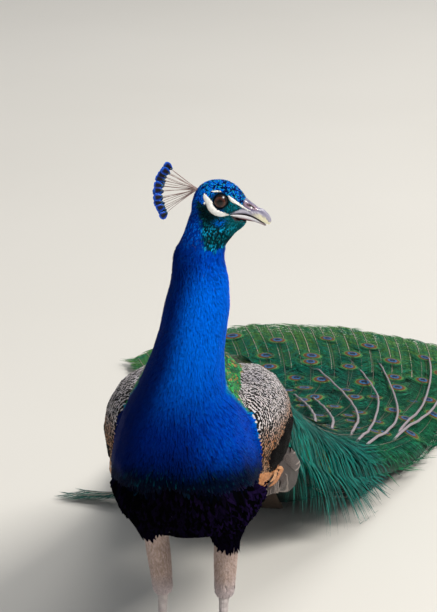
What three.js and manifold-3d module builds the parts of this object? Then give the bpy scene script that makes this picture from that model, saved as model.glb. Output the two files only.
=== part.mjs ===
// A life-size peacock (Indian peafowl, adult male) standing with its head turned to its left
// and its train lowered behind it. Millimetres, +Z up. The bird faces -Y and its left is +X.
// The body is laid out about the point on the floor midway between the feet, and the finished
// group is shifted so that its origin is the bottom centre of its bounding box.
import * as THREE from 'three';
import { mergeVertices } from 'three/addons/utils/BufferGeometryUtils.js';
import Module from 'manifold-3d';

const wasm = await Module();
wasm.setup();

// ---- Driving dimensions -------------------------------------------------------------------

const GAP = 0.35; // clearance between touching parts
const FLOOR = 0;
const HEAD = { x: 56.6, y: -110, z: 761.6 }; // centre of the skull, level with the eyes
const EYE_RADIUS = 11;
const EYE_DEPTH = 8; // eyeball centre from the head's mid-plane
const CREST = { forward: -29.6, rise: 10.4, reach: 50, lowest: 59.5, tip: 12, spread: 76, plumes: 8, shaft: 0.9 };
const LEG = { x: 43, hockY: 34, hockZ: 139, ankleY: 4, ankleZ: 24 };
const TARSUS_WIDTH = 12;
const TOES = [
  // heading from straight ahead (degrees, outward positive), length to the claw, claw length
  { name: 'inner', heading: -27, length: 48, claw: 15 },
  { name: 'middle', heading: 2, length: 66, claw: 17 },
  { name: 'outer', heading: 30, length: 51, claw: 15 },
  { name: 'hind', heading: 168, length: 20, claw: 12 },
];
const TOE_HEIGHT = 11;
const BODY_LEAN = 5; // the wings' mid-plane lies this far to the bird's left of the feet's
const BACK_HALF_WIDTH = 26; // strip of back left between the folded wings
const COVERTS_END = { y: 112, z: 330, tilt: 38 }; // slants back from the wing's lower edge
const SPUR = { z: 66, length: 20, radius: 4 };
const TAIL = { fromY: 236, toY: 590, fromHalf: 34, toHalf: 88, thick: 7 };
const PLUME = { count: 9, startY: 945, length: 478, width: 59, height: 15, apart: 0.7 };

const COLOURS = {
  blue: 0x0a3fb0, teal: 0x0b6e6a, black: 0x14121c, barred: 0xa39c8c, dark: 0x23262c,
  orange: 0xc8824f, taupe: 0x77665a, buff: 0xa58b72, scale: 0x9a938c, horn: 0x8d8694,
  claw: 0x3a3230, iris: 0x2a1712, brown: 0x5a4a3c, green: 0x0b7f5c, crest: 0x0b2f7a,
};

// ---- Small helpers ------------------------------------------------------------------------

const rad = THREE.MathUtils.degToRad;
const lerp = THREE.MathUtils.lerp;
const point = (x, y, z) => new THREE.Vector3(x, y, z);

// Catmull-Rom value of a field through a list of stations, at a fractional station number.
function along(stations, field, t) {
  const last = stations.length - 1;
  const i = Math.min(Math.max(Math.floor(t), 0), last - 1);
  const at = (k) => stations[Math.min(Math.max(k, 0), last)][field];
  const [a, b, c, d] = [at(i - 1), at(i), at(i + 1), at(i + 2)];
  const f = t - i;
  return b + 0.5 * f * (c - a + f * (2 * a - 5 * b + 4 * c - d + f * (3 * (b - c) + d - a)));
}

// Closed solid through rings of equal count, with a fan over each end ring's centre.
function loft(rings) {
  const n = rings[0].length;
  const positions = [];
  const index = [];
  for (const ring of rings) for (const p of ring) positions.push(p.x, p.y, p.z);
  for (let r = 0; r + 1 < rings.length; r += 1) {
    for (let k = 0; k < n; k += 1) {
      const a = r * n + k;
      const b = r * n + ((k + 1) % n);
      index.push(a, b, a + n, b, b + n, a + n);
    }
  }
  const addCap = (ring, start, flip) => {
    const centre = ring.reduce((sum, p) => sum.add(p), point(0, 0, 0)).divideScalar(n);
    const hub = positions.length / 3;
    positions.push(centre.x, centre.y, centre.z);
    for (let k = 0; k < n; k += 1) {
      const a = start + k;
      const b = start + ((k + 1) % n);
      index.push(...(flip ? [hub, b, a] : [hub, a, b]));
    }
  };
  addCap(rings[0], 0, true);
  addCap(rings[rings.length - 1], (rings.length - 1) * n, false);
  const geometry = new THREE.BufferGeometry();
  geometry.setAttribute('position', new THREE.Float32BufferAttribute(positions, 3));
  geometry.setIndex(index);
  return solid(geometry);
}

// The manifold solid of a closed geometry, turned right side out.
function solid(geometry) {
  const bare = geometry.clone();
  bare.deleteAttribute('normal');
  bare.deleteAttribute('uv');
  const merged = mergeVertices(bare, 1e-4);
  const vertProperties = new Float32Array(merged.attributes.position.array);
  const triVerts = new Uint32Array(merged.index.array);
  let volume = 0;
  const corner = (i) => new THREE.Vector3().fromArray(vertProperties, 3 * triVerts[i]);
  for (let i = 0; i < triVerts.length; i += 3) {
    volume += corner(i).dot(corner(i + 1).cross(corner(i + 2)));
  }
  if (volume < 0) {
    for (let i = 0; i < triVerts.length; i += 3) {
      [triVerts[i], triVerts[i + 1]] = [triVerts[i + 1], triVerts[i]];
    }
  }
  return new wasm.Manifold(new wasm.Mesh({ numProp: 3, vertProperties, triVerts }));
}

// The largest piece of a cut solid, as a three.js geometry.
function geometryOf(manifold) {
  const pieces = manifold.decompose().sort((a, b) => b.volume() - a.volume());
  const { vertProperties, triVerts } = pieces[0].getMesh();
  const geometry = new THREE.BufferGeometry();
  geometry.setAttribute('position', new THREE.Float32BufferAttribute(vertProperties, 3));
  geometry.setIndex(Array.from(triVerts));
  geometry.computeVertexNormals();
  return geometry;
}

// A box between two corners, used for straight cuts.
function block(low, high) {
  const size = high.map((v, i) => v - low[i]);
  const box = new THREE.BoxGeometry(...size);
  box.translate(...low.map((v, i) => v + size[i] / 2));
  return solid(box);
}

// A superellipse in the plane of two unit vectors; the widest level can be moved off centre.
function ellipseRing(centre, across, up, halfAcross, halfUp, segments, power = 2, belly = 0) {
  const ring = [];
  for (let k = 0; k < segments; k += 1) {
    const angle = (2 * Math.PI * k) / segments;
    const c = Math.cos(angle);
    const s = Math.sin(angle);
    const round = (v) => Math.sign(v) * Math.abs(v) ** (2 / power);
    const lift = round(s) + belly * c * c;
    const reach = round(c) * halfAcross;
    ring.push(centre.clone().addScaledVector(across, reach).addScaledVector(up, lift * halfUp));
  }
  return ring;
}

const mirrorX = (manifold) => manifold.mirror([1, 0, 0]);

const peacock = new THREE.Group();

function addPart(name, manifold, colour, roughness = 0.6) {
  const material = new THREE.MeshStandardMaterial({ color: colour, roughness });
  const mesh = new THREE.Mesh(geometryOf(manifold), material);
  mesh.name = name;
  peacock.add(mesh);
}

// Adds the left-hand solid and its mirror image.
function addPair(name, manifold, colour) {
  addPart(`${name}_left`, manifold, colour);
  addPart(`${name}_right`, mirrorX(manifold), colour);
}

// ---- Neck and body: one sweep, parted at its stations -------------------------------------

// Each station is a cross-section: its dorsal point (backY, backZ), its ventral point
// (frontY, frontZ), its half-width, how far it leans to the bird's left, and how far below its
// middle it is widest, as a part of its half-depth.
const BODY = [
  { backY: -92, backZ: 741, frontY: -128, frontZ: 741, half: 31, lean: 48, sag: 0 },
  { backY: -90, backZ: 729, frontY: -131, frontZ: 727, half: 33.5, lean: 46.5, sag: 0 },
  { backY: -88, backZ: 717, frontY: -135, frontZ: 714, half: 32, lean: 40.5, sag: 0 },
  { backY: -87, backZ: 704, frontY: -139, frontZ: 701, half: 31, lean: 32.5, sag: 0 },
  { backY: -86, backZ: 690, frontY: -146, frontZ: 687, half: 32.5, lean: 28.5, sag: 0 },
  { backY: -82, backZ: 659, frontY: -154, frontZ: 655, half: 37.5, lean: 30.5, sag: 0 },
  { backY: -76, backZ: 628, frontY: -161, frontZ: 622, half: 42.5, lean: 27, sag: 0 },
  { backY: -67, backZ: 599, frontY: -166, frontZ: 590, half: 43.5, lean: 22, sag: 0 },
  { backY: -55, backZ: 570, frontY: -172, frontZ: 552, half: 46.5, lean: 15, sag: 0.05 },
  { backY: -35, backZ: 541, frontY: -181, frontZ: 508, half: 55, lean: 8, sag: 0.14 },
  { backY: -6, backZ: 518, frontY: -189, frontZ: 460, half: 73, lean: 6, sag: 0.24 },
  { backY: 30, backZ: 502, frontY: -189, frontZ: 408, half: 86, lean: 5, sag: 0.3 },
  { backY: 69, backZ: 491, frontY: -167, frontZ: 352, half: 96.5, lean: 5, sag: 0.31 },
  { backY: 107, backZ: 480, frontY: -121, frontZ: 303, half: 100, lean: 7, sag: 0.28 },
  { backY: 146, backZ: 465, frontY: -58, frontZ: 274, half: 99, lean: 8, sag: 0.27 },
  { backY: 183, backZ: 446, frontY: 8, frontZ: 265, half: 93, lean: 7, sag: 0.25 },
  { backY: 217, backZ: 424, frontY: 68, frontZ: 266, half: 84, lean: 4, sag: 0.21 },
  { backY: 249, backZ: 399, frontY: 124, frontZ: 269, half: 70, lean: 2, sag: 0.15 },
  { backY: 278, backZ: 373, frontY: 176, frontZ: 279, half: 54, lean: 0, sag: 0.08 },
  { backY: 298, backZ: 351, frontY: 210, frontZ: 286, half: 38, lean: 0, sag: 0 },
];
const BODY_SEGMENTS = 20;

function bodyRing(t, grow) {
  const value = (field) => along(BODY, field, t);
  const back = point(value('lean'), value('backY'), value('backZ'));
  const front = point(value('lean'), value('frontY'), value('frontZ'));
  const centre = back.clone().add(front).multiplyScalar(0.5);
  const up = back.clone().sub(front);
  const depth = up.length() / 2;
  up.normalize();
  const across = point(1, 0, 0);
  const half = value('half') + grow;
  const sag = value('sag');
  return ellipseRing(centre, across, up, half, depth + grow, BODY_SEGMENTS, 2, -sag);
}

// The sweep between two station numbers; a parted end is set back by half of the gap.
function bodyLength(from, to, grow = 0) {
  const count = to - from;
  const rings = [];
  for (let i = 0; i <= count; i += 1) rings.push(bodyRing(lerp(from, to, i / count), grow));
  const last = BODY.length - 1;
  if (from > 0) setBack(rings[0], rings[1]);
  if (to < last) setBack(rings[count], rings[count - 1]);
  return loft(rings);
}

// Moves a ring along its own normal, towards its neighbour.
function setBack(ring, neighbour) {
  const normal = new THREE.Plane().setFromCoplanarPoints(ring[0], ring[7], ring[13]).normal;
  const towards = neighbour[0].clone().sub(ring[0]).add(neighbour[10]).sub(ring[10]);
  const shift = GAP * 0.6 * Math.sign(normal.dot(towards));
  for (const p of ring) p.addScaledVector(normal, shift);
}

const bodyGrown = bodyLength(0, BODY.length - 1, GAP);

// ---- Head: swept along +X from the nape to the forehead -----------------------------------

// forward from the eyes, top and bottom above them, half-width.
const HEAD_STATIONS = [
  { forward: -37.1, top: -6.6, bottom: -20.6, half: 7 },
  { forward: -33.1, top: 7.4, bottom: -27.6, half: 13 },
  { forward: -25.6, top: 17.6, bottom: -33.6, half: 16.8 },
  { forward: -15.6, top: 22.8, bottom: -37.6, half: 18 },
  { forward: -6.6, top: 24.5, bottom: -40.6, half: 17.6 },
  { forward: 2.4, top: 24.6, bottom: -41.6, half: 16.8 },
  { forward: 10.4, top: 22.6, bottom: -42.4, half: 15.8 },
  { forward: 18.4, top: 17.8, bottom: -41.2, half: 14 },
  { forward: 24.6, top: 11, bottom: -37, half: 11.8 },
  { forward: 29, top: 5.4, bottom: -32.4, half: 9.3 },
  { forward: 32.2, top: -0.4, bottom: -28.6, half: 7 },
];
const HEAD_SEGMENTS = 16;
const inHead = (forward, side, rise) => point(HEAD.x + forward, HEAD.y + side, HEAD.z + rise);

function sweepForward(stations, grow, segments, power, belly = 0) {
  const [across, up] = [point(0, 1, 0), point(0, 0, 1)];
  return loft(stations.map(({ forward, top, bottom, half }) => {
    const centre = inHead(forward, 0, (top + bottom) / 2);
    const halfUp = (top - bottom) / 2 + grow;
    return ellipseRing(centre, across, up, half + grow, halfUp, segments, power, belly);
  }));
}

// The orbit or the eye: a dome about the eyeball's centre, flat on its inner side.
function eyeDome(side, radius) {
  const profile = [new THREE.Vector2(0, 0)];
  const steps = 5;
  for (let i = 0; i <= steps; i += 1) {
    const angle = (i / steps) * (Math.PI / 2);
    profile.push(new THREE.Vector2(radius * Math.cos(angle), radius * Math.sin(angle)));
  }
  profile[profile.length - 1].x = 0;
  const dome = new THREE.LatheGeometry(profile, 12);
  if (side < 0) dome.rotateX(Math.PI);
  const centre = inHead(0, side * EYE_DEPTH, 0);
  dome.translate(centre.x, centre.y, centre.z);
  return solid(dome);
}

// Bill outlines, in the same terms as the head's.
const UPPER_BILL = [
  { forward: 23.4, top: 1.4, bottom: -15.4, half: 7 },
  { forward: 31.4, top: 0.8, bottom: -16.2, half: 7.8 },
  { forward: 37.4, top: -4.3, bottom: -18.2, half: 6.9 },
  { forward: 44.4, top: -9.5, bottom: -21.9, half: 5.7 },
  { forward: 50.9, top: -11.8, bottom: -26.2, half: 4.4 },
  { forward: 55.4, top: -15.4, bottom: -29, half: 3.3 },
  { forward: 59, top: -19.4, bottom: -30.1, half: 1.9 },
  { forward: 61, top: -23.6, bottom: -28, half: 0.8 },
];
const LOWER_BILL = [
  { forward: 21.4, top: -18.4, bottom: -24, half: 6.5 },
  { forward: 30.4, top: -19, bottom: -26.4, half: 6.8 },
  { forward: 38.4, top: -21.6, bottom: -27.8, half: 5.6 },
  { forward: 44.9, top: -25.2, bottom: -29, half: 4.2 },
  { forward: 50.4, top: -28.6, bottom: -31.6, half: 2.6 },
  { forward: 54.4, top: -31.8, bottom: -33.2, half: 1.2 },
];

// The open mouth: a wedge that narrows to the corner of the gape.
function mouthWedge() {
  const wedge = new THREE.Shape([
    new THREE.Vector2(12.4, -18),
    new THREE.Vector2(23.4, -15.8),
    new THREE.Vector2(36, -17.2),
    new THREE.Vector2(36, -19.8),
    new THREE.Vector2(23.4, -18.2),
  ]);
  const depth = 60;
  const geometry = new THREE.ExtrudeGeometry(wedge, { depth, bevelEnabled: false });
  geometry.rotateX(Math.PI / 2);
  geometry.translate(HEAD.x, HEAD.y + depth / 2, HEAD.z);
  return solid(geometry);
}

const headWhole = sweepForward(HEAD_STATIONS, 0, HEAD_SEGMENTS, 2.1, 0.06);
const headGrown = sweepForward(HEAD_STATIONS, GAP, HEAD_SEGMENTS, 2.1, 0.06);
const orbits = eyeDome(1, EYE_RADIUS + GAP).add(eyeDome(-1, EYE_RADIUS + GAP));
const head = headWhole.subtract(orbits).subtract(mouthWedge());
addPart('head', head, COLOURS.blue);
addPart('eye_left', eyeDome(1, EYE_RADIUS - GAP), COLOURS.iris, 0.1);
addPart('eye_right', eyeDome(-1, EYE_RADIUS - GAP), COLOURS.iris, 0.1);
const upperBill = sweepForward(UPPER_BILL, 0, 12, 2.2);
const lowerBill = sweepForward(LOWER_BILL, 0, 12, 2.2);
addPart('bill_upper', upperBill.subtract(headGrown), COLOURS.horn, 0.4);
addPart('bill_lower', lowerBill.subtract(headGrown), COLOURS.horn, 0.4);

// ---- Crest: a fan of bare shafts with overlapping spatulate tips, in the head's mid-plane --

function crestFan() {
  const plumes = Array.from({ length: CREST.plumes }, (_, i) => {
    const share = i / (CREST.plumes - 1);
    const angle = rad(180 + CREST.spread * (share - 0.5));
    const outer = THREE.MathUtils.lerp(CREST.reach, CREST.lowest, share);
    const out = point(Math.cos(angle), 0, Math.sin(angle));
    const acrossTip = point(-out.z, 0, out.x);
    const root = inHead(CREST.forward, 0, CREST.rise);
    return loft([
      [-2, CREST.shaft],
      [outer - CREST.tip, CREST.shaft],
      [outer - CREST.tip + 3.5, 4.4],
      [outer - 4, 5],
      [outer, 1],
    ].map(([reach, half]) => {
      const centre = root.clone().addScaledVector(out, reach);
      return ellipseRing(centre, acrossTip, point(0, 1, 0), half, CREST.shaft, 6);
    }));
  });
  return plumes.reduce((fan, each) => fan.add(each));
}
addPart('crest', crestFan().subtract(headGrown), COLOURS.crest);

addPart('neck_upper', bodyLength(0, 5).subtract(headGrown), COLOURS.blue);
addPart('neck_middle', bodyLength(5, 7), COLOURS.blue);
addPart('neck_lower', bodyLength(7, 9), COLOURS.blue);
addPart('breast', bodyLength(9, 12), COLOURS.blue);
addPart('trunk', bodyLength(12, 16), COLOURS.black);
addPart('rump', bodyLength(16, BODY.length - 1), COLOURS.green);

// ---- Wings: the folded left wing, mirrored for the right ----------------------------------

// Upright cross-sections along the body, out from its mid-plane: centre (x, z), half-width and
// half-height at y.
const WING_SHELL = [
  { y: -78, x: 78, z: 404, half: 5, tall: 20 },
  { y: -60, x: 76, z: 404, half: 22, tall: 50 },
  { y: -25, x: 73, z: 400, half: 41, tall: 68 },
  { y: 15, x: 71, z: 394, half: 52, tall: 75 },
  { y: 55, x: 68, z: 387, half: 58, tall: 77 },
  { y: 105, x: 63, z: 377, half: 62, tall: 77 },
  { y: 155, x: 57, z: 365, half: 61, tall: 76 },
  { y: 205, x: 51, z: 350, half: 57, tall: 71 },
  { y: 255, x: 45, z: 332, half: 49, tall: 60 },
  { y: 300, x: 39, z: 314, half: 37, tall: 43 },
  { y: 335, x: 35, z: 298, half: 20, tall: 22 },
  { y: 350, x: 34, z: 292, half: 4, tall: 5 },
];
const PRIMARIES = [
  { y: 20, x: 98, z: 342, half: 12, tall: 22 },
  { y: 80, x: 107, z: 318, half: 22, tall: 34 },
  { y: 140, x: 109, z: 288, half: 24, tall: 40 },
  { y: 200, x: 105, z: 258, half: 24, tall: 38 },
  { y: 260, x: 96, z: 233, half: 20, tall: 30 },
  { y: 320, x: 85, z: 216, half: 12, tall: 18 },
  { y: 366, x: 77, z: 207, half: 3, tall: 5 },
];
const ALULA = [
  { y: -34, x: 91, z: 338, half: 3, tall: 8 },
  { y: 0, x: 98, z: 329, half: 13, tall: 18 },
  { y: 45, x: 105, z: 317, half: 18, tall: 22 },
  { y: 95, x: 108, z: 302, half: 15, tall: 18 },
  { y: 135, x: 106, z: 290, half: 4, tall: 6 },
];
function sweepBack(stations, grow, segments) {
  const [across, up] = [point(1, 0, 0), point(0, 0, 1)];
  return loft(stations.map(({ y, x, z, half, tall }) =>
    ellipseRing(point(x, y, z), across, up, half + grow, tall + grow, segments)));
}

const besideBack = block([BACK_HALF_WIDTH, -200, 0], [300, 500, 900]);

// The half-space ahead of, or behind, the slanting line where the coverts end.
function coversSide(ahead) {
  const reach = 900;
  const box = new THREE.BoxGeometry(reach, reach, reach);
  box.translate(0, (ahead ? -1 : 1) * (reach / 2 + GAP / 2), 0);
  box.rotateX(rad(-COVERTS_END.tilt));
  box.translate(0, COVERTS_END.y, COVERTS_END.z);
  return solid(box);
}

// A left-hand solid moved to the bird's own mid-plane, or its mirror image there.
const onSide = (manifold, side) =>
  (side > 0 ? manifold : mirrorX(manifold)).translate([BODY_LEAN, 0, 0]);
const SIDES = [['left', 1], ['right', -1]];
const wingsTaken = [];

for (const [sideName, side] of SIDES) {
  const shellGrown = onSide(sweepBack(WING_SHELL, GAP, 14), side);
  const alulaGrown = onSide(sweepBack(ALULA, GAP, 8), side);
  const cut = (manifold) => onSide(manifold, side).subtract(bodyGrown);
  const shell = sweepBack(WING_SHELL, 0, 14).intersect(besideBack);
  const primaries = cut(sweepBack(PRIMARIES, 0, 10)).subtract(shellGrown).subtract(alulaGrown);
  const alula = cut(sweepBack(ALULA, 0, 8)).subtract(shellGrown);
  addPart(`wing_coverts_${sideName}`, cut(shell.intersect(coversSide(true))), COLOURS.barred);
  addPart(`wing_secondaries_${sideName}`, cut(shell.intersect(coversSide(false))), COLOURS.dark);
  addPart(`wing_primaries_${sideName}`, primaries, COLOURS.taupe);
  addPart(`wing_alula_${sideName}`, alula, COLOURS.orange);
  wingsTaken.push(shellGrown, alulaGrown, onSide(sweepBack(PRIMARIES, GAP, 10), side));
}

// ---- Legs ---------------------------------------------------------------------------------

// Level cross-sections of the feathered leg: centre y, height, half-width, half-depth.
const THIGH = [
  { y: -6, z: 325, half: 40, deep: 60 },
  { y: -2, z: 288, half: 34, deep: 50 },
  { y: 6, z: 258, half: 24, deep: 36 },
  { y: 14, z: 234, half: 16.5, deep: 25 },
  { y: 22, z: 205, half: 15.5, deep: 19 },
  { y: 30, z: 172, half: 14.2, deep: 16 },
  { y: 34, z: 148, half: 13.4, deep: 14.6 },
  { y: 34.5, z: 140, half: 10.5, deep: 12 },
];
const THIGH_INWARD = 10; // the legs draw together by this much at the top

function thigh() {
  const [across, fore] = [point(1, 0, 0), point(0, 1, 0)];
  const top = THIGH[0].z;
  return loft(THIGH.map(({ y, z, half, deep }) => {
    const inward = THREE.MathUtils.mapLinear(z, LEG.hockZ, top, 0, THIGH_INWARD);
    return ellipseRing(point(LEG.x + inward, y, z), across, fore, half, deep, 12);
  }));
}

// A round upright limb through centres with given radii across and fore-and-aft.
function limb(stations, segments) {
  const [sideways, fore] = [point(1, 0, 0), point(0, 1, 0)];
  return loft(stations.map(({ at, across, deep }) =>
    ellipseRing(point(...at), sideways, fore, across, deep, segments)));
}

// The scaled shank from just under the hock feathers to the ball of the foot.
function tarsus(grow = 0) {
  const station = (f, width, deep) => ({
    at: [LEG.x, lerp(LEG.hockY, LEG.ankleY, f), lerp(LEG.hockZ, LEG.ankleZ, f)],
    across: (TARSUS_WIDTH / 2) * width + grow,
    deep: deep + grow,
  });
  return limb([
    station(0, 1.35, 9.5),
    station(0.12, 1.1, 8),
    station(0.3, 0.95, 7),
    station(0.7, 0.95, 6.8),
    station(0.9, 1.15, 7.4),
    station(1, 1.3, 8),
  ], 10);
}

// A toe or claw: lofted along a level heading from the ball of the foot, flat underneath.
function toeShape(heading, stations, segments) {
  const forward = point(Math.sin(rad(heading)), -Math.cos(rad(heading)), 0);
  const across = point(Math.cos(rad(heading)), Math.sin(rad(heading)), 0);
  const rings = stations.map(([reach, half, low, high]) => {
    const centre = point(LEG.x, LEG.ankleY - 6, (low + high) / 2);
    centre.addScaledVector(forward, reach);
    const halfHigh = (high - low) / 2 + 1.2;
    const ring = ellipseRing(centre, across, point(0, 0, 1), half, halfHigh, segments);
    for (const p of ring) p.z = Math.max(p.z, low);
    return ring;
  });
  return loft(rings);
}

function toe({ heading, length }) {
  return toeShape(heading, [
    [-2, 4.5, FLOOR, TOE_HEIGHT + 4],
    [length * 0.3, 5.2, FLOOR, TOE_HEIGHT],
    [length * 0.8, 4.4, FLOOR, TOE_HEIGHT - 2.5],
    [length, 3.6, FLOOR, TOE_HEIGHT - 3],
  ], 8);
}

function claw({ heading, length, claw: reach }) {
  return toeShape(heading, [
    [length + GAP, 2.6, 1, TOE_HEIGHT - 4],
    [length + reach * 0.5, 2.1, 0.5, TOE_HEIGHT - 5],
    [length + reach, 0.5, FLOOR, 1.2],
  ], 6);
}

function foot() {
  const ball = limb([
    { at: [LEG.x, LEG.ankleY, LEG.ankleZ - GAP], across: 7.6, deep: 8 },
    { at: [LEG.x, LEG.ankleY - 3, 16], across: 9, deep: 10.5 },
    { at: [LEG.x, LEG.ankleY - 6, 7], across: 9.5, deep: 11 },
    { at: [LEG.x, LEG.ankleY - 6, FLOOR], across: 8, deep: 9 },
  ], 10);
  return TOES.reduce((whole, each) => whole.add(toe(each)), ball);
}

// The rear spur on the inner back of the shank.
function spur() {
  const f = (LEG.hockZ - SPUR.z) / (LEG.hockZ - LEG.ankleZ);
  const rootY = lerp(LEG.hockY, LEG.ankleY, f) + 4;
  const rings = [0, 0.35, 0.7, 1].map((s) => {
    const centre = point(LEG.x - 2 - 3 * s, rootY + SPUR.length * s, SPUR.z + 5 * s * s);
    const radius = lerp(SPUR.radius, 0.5, s);
    return ellipseRing(centre, point(1, 0, 0), point(0, 0, 1), radius, radius, 7);
  });
  return loft(rings).subtract(tarsus(GAP));
}

for (const [sideName, side] of SIDES) {
  const leg = side > 0 ? thigh() : mirrorX(thigh());
  const bare = wingsTaken.reduce((rest, wing) => rest.subtract(wing), leg.subtract(bodyGrown));
  addPart(`thigh_${sideName}`, bare, COLOURS.buff);
}
addPair('shank', tarsus(), COLOURS.scale);
addPair('spur', spur(), COLOURS.claw);
addPair('foot', foot(), COLOURS.scale);
for (const each of TOES) addPair(`claw_${each.name}`, claw(each), COLOURS.claw);

// ---- Train and tail -----------------------------------------------------------------------

// Upright cross-sections of the lowered train: centre x, crown height, half-span, height of its
// side edges and of its underside.
const TRAIN = [
  { y: 226, x: 3, top: 430, span: 56, edge: 396, under: 380 },
  { y: 262, x: 2, top: 411, span: 76, edge: 350, under: 326 },
  { y: 305, x: 2, top: 384, span: 94, edge: 286, under: 286 },
  { y: 350, x: 2, top: 350, span: 110, edge: 224, under: 236 },
  { y: 400, x: 4, top: 308, span: 128, edge: 184, under: 184 },
  { y: 450, x: 8, top: 266, span: 144, edge: 150, under: 132 },
  { y: 500, x: 12, top: 226, span: 162, edge: 120, under: 84 },
  { y: 560, x: 16, top: 186, span: 184, edge: 90, under: 34 },
  { y: 620, x: 22, top: 152, span: 203, edge: 68, under: 0 },
  { y: 700, x: 32, top: 118, span: 224, edge: 42, under: 0 },
  { y: 780, x: 42, top: 92, span: 241, edge: 20, under: 0 },
  { y: 860, x: 51, top: 70, span: 255, edge: 5, under: 0 },
  { y: 944, x: 58, top: 52, span: 266, edge: 0, under: 0 },
];
const TRAIN_SIDE = 9; // points over the crown of each cross-section

function trainRing(t, grow) {
  const [y, x, top, span, edge, under] = ['y', 'x', 'top', 'span', 'edge', 'under'].map((field) =>
    along(TRAIN, field, t));
  const ring = [];
  for (let k = 0; k <= TRAIN_SIDE; k += 1) {
    const angle = (Math.PI * k) / TRAIN_SIDE;
    const lift = Math.sin(angle) ** 0.8;
    const reach = Math.cos(angle) * (span + grow);
    ring.push(point(x + reach, y, Math.max(lerp(edge, top + grow, lift), FLOOR)));
  }
  const lip = 9; // thickness of the side edge
  for (let k = 0; k <= 4; k += 1) {
    const across = -1 + k / 2;
    const sag = lerp(under, edge - lip, across * across);
    ring.push(point(x + across * (span - 3), y, Math.max(sag - grow, FLOOR)));
  }
  for (const p of ring.slice(0, TRAIN_SIDE + 1)) p.z = Math.max(p.z, FLOOR + 3);
  return ring;
}

function trainLength(from, to, grow = 0) {
  const count = to - from;
  const rings = [];
  for (let i = 0; i <= count; i += 1) rings.push(trainRing(lerp(from, to, i / count), grow));
  if (from > 0 && !grow) for (const p of rings[0]) p.y += GAP;
  return loft(rings);
}

const bodyTaken = wingsTaken.reduce((whole, each) => whole.add(each), bodyGrown);
addPart('train_root', trainLength(0, 3).subtract(bodyTaken), COLOURS.green);
addPart('train_fore', trainLength(3, 6).subtract(bodyTaken), COLOURS.green);
addPart('train_middle', trainLength(6, 9), COLOURS.teal);
addPart('train_rear', trainLength(9, TRAIN.length - 1), COLOURS.teal);

// The stiff tail feathers: a thin fan just under the train.
function tail() {
  const rings = [];
  const count = 6;
  const [across, up] = [point(1, 0, 0), point(0, 0, 1)];
  for (let i = 0; i <= count; i += 1) {
    const y = lerp(TAIL.fromY, TAIL.toY, i / count);
    const half = lerp(TAIL.fromHalf, TAIL.toHalf, i / count);
    const t = TRAIN.findIndex((station) => station.y > y) - 1;
    const f = (y - TRAIN[t].y) / (TRAIN[t + 1].y - TRAIN[t].y);
    const under = along(TRAIN, 'under', t + f);
    const level = Math.max(under - TAIL.thick - 2, FLOOR + TAIL.thick / 2);
    rings.push(ellipseRing(point(0, y, level), across, up, half, TAIL.thick / 2, 12));
  }
  return loft(rings).subtract(trainLength(0, 9, GAP)).subtract(bodyTaken);
}
addPart('tail', tail(), COLOURS.brown);

// A plume lying on the floor: its centre line starts at (x, y) with a heading from +Y towards
// +X and turns steadily by the curl; flat underneath, with a rounded, broader eyed tip. It
// comes down to the floor from the height of its rise.
function plume({ x, y, heading, curl, length, width, height, rise = 0 }) {
  const steps = 8;
  const rings = [];
  const centre = point(x, y, FLOOR);
  for (let i = 0; i <= steps; i += 1) {
    const s = i / steps;
    const turn = rad(heading + curl * s);
    if (i > 0) centre.add(point(Math.sin(turn), Math.cos(turn), 0).multiplyScalar(length / steps));
    const across = i > 0 ? point(Math.cos(turn), -Math.sin(turn), 0) : point(1, 0, 0);
    const half = (width / 2) * Math.sqrt(1 - Math.max(0, (s - 0.72) / 0.3) ** 2);
    const high = height * (1 - 0.55 * s);
    const base = FLOOR + rise * (1 - s) ** 2;
    const ring = [];
    for (const side of [1, 0.6, 0, -0.6, -1]) {
      const crown = 1.5 + (high - 1.5) * Math.sqrt(1 - side * side);
      ring.push(centre.clone().addScaledVector(across, side * half).setZ(base + crown));
    }
    ring.push(centre.clone().addScaledVector(across, -half * 0.97).setZ(base));
    ring.push(centre.clone().addScaledVector(across, half * 0.97).setZ(base));
    rings.push(ring);
  }
  return loft(rings);
}

const trainEnd = TRAIN[TRAIN.length - 1];
for (let i = 0; i < PLUME.count; i += 1) {
  const place = i - (PLUME.count - 1) / 2;
  const outward = place / ((PLUME.count - 1) / 2);
  const rear = plume({
    x: trainEnd.x + place * (PLUME.width + PLUME.apart),
    y: PLUME.startY,
    heading: 5 + 8 * outward,
    curl: -22,
    length: PLUME.length * (1 - (outward < 0 ? 0.4 : 0.16) * outward * outward),
    width: PLUME.width,
    height: PLUME.height + 22 * (1 - outward * outward),
  });
  addPart(`train_plume_${i + 1}`, rear, COLOURS.teal);
}

// Plumes that leave the train's sides and arch outwards before they turn back.
const SIDE_PLUMES = [
  { name: 'side_plume_left', x: 110, y: 500, heading: 40, curl: -34, length: 300, rise: 92 },
  { name: 'side_plume_right', x: -112, y: 575, heading: -82, curl: 6, length: 215, rise: 52 },
];
const trainGrown = trainLength(0, TRAIN.length - 1, GAP * 1.5);
for (const { name, ...lie } of SIDE_PLUMES) {
  const side = plume({ ...lie, width: 44, height: 16 });
  addPart(name, side.subtract(trainGrown), COLOURS.teal);
}

// ---- Place the whole on its bounding box's bottom centre ----------------------------------

const bounds = new THREE.Box3().setFromObject(peacock);
const middle = bounds.getCenter(new THREE.Vector3());
peacock.position.set(-middle.x, -middle.y, FLOOR);
peacock.updateMatrixWorld(true);

export default peacock;
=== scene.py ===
"""A life-size peacock: skin, plumage, bill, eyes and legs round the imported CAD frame."""

import math

import bmesh
import bpy
import numpy as np
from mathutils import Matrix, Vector
from mathutils.bvhtree import BVHTree


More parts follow.
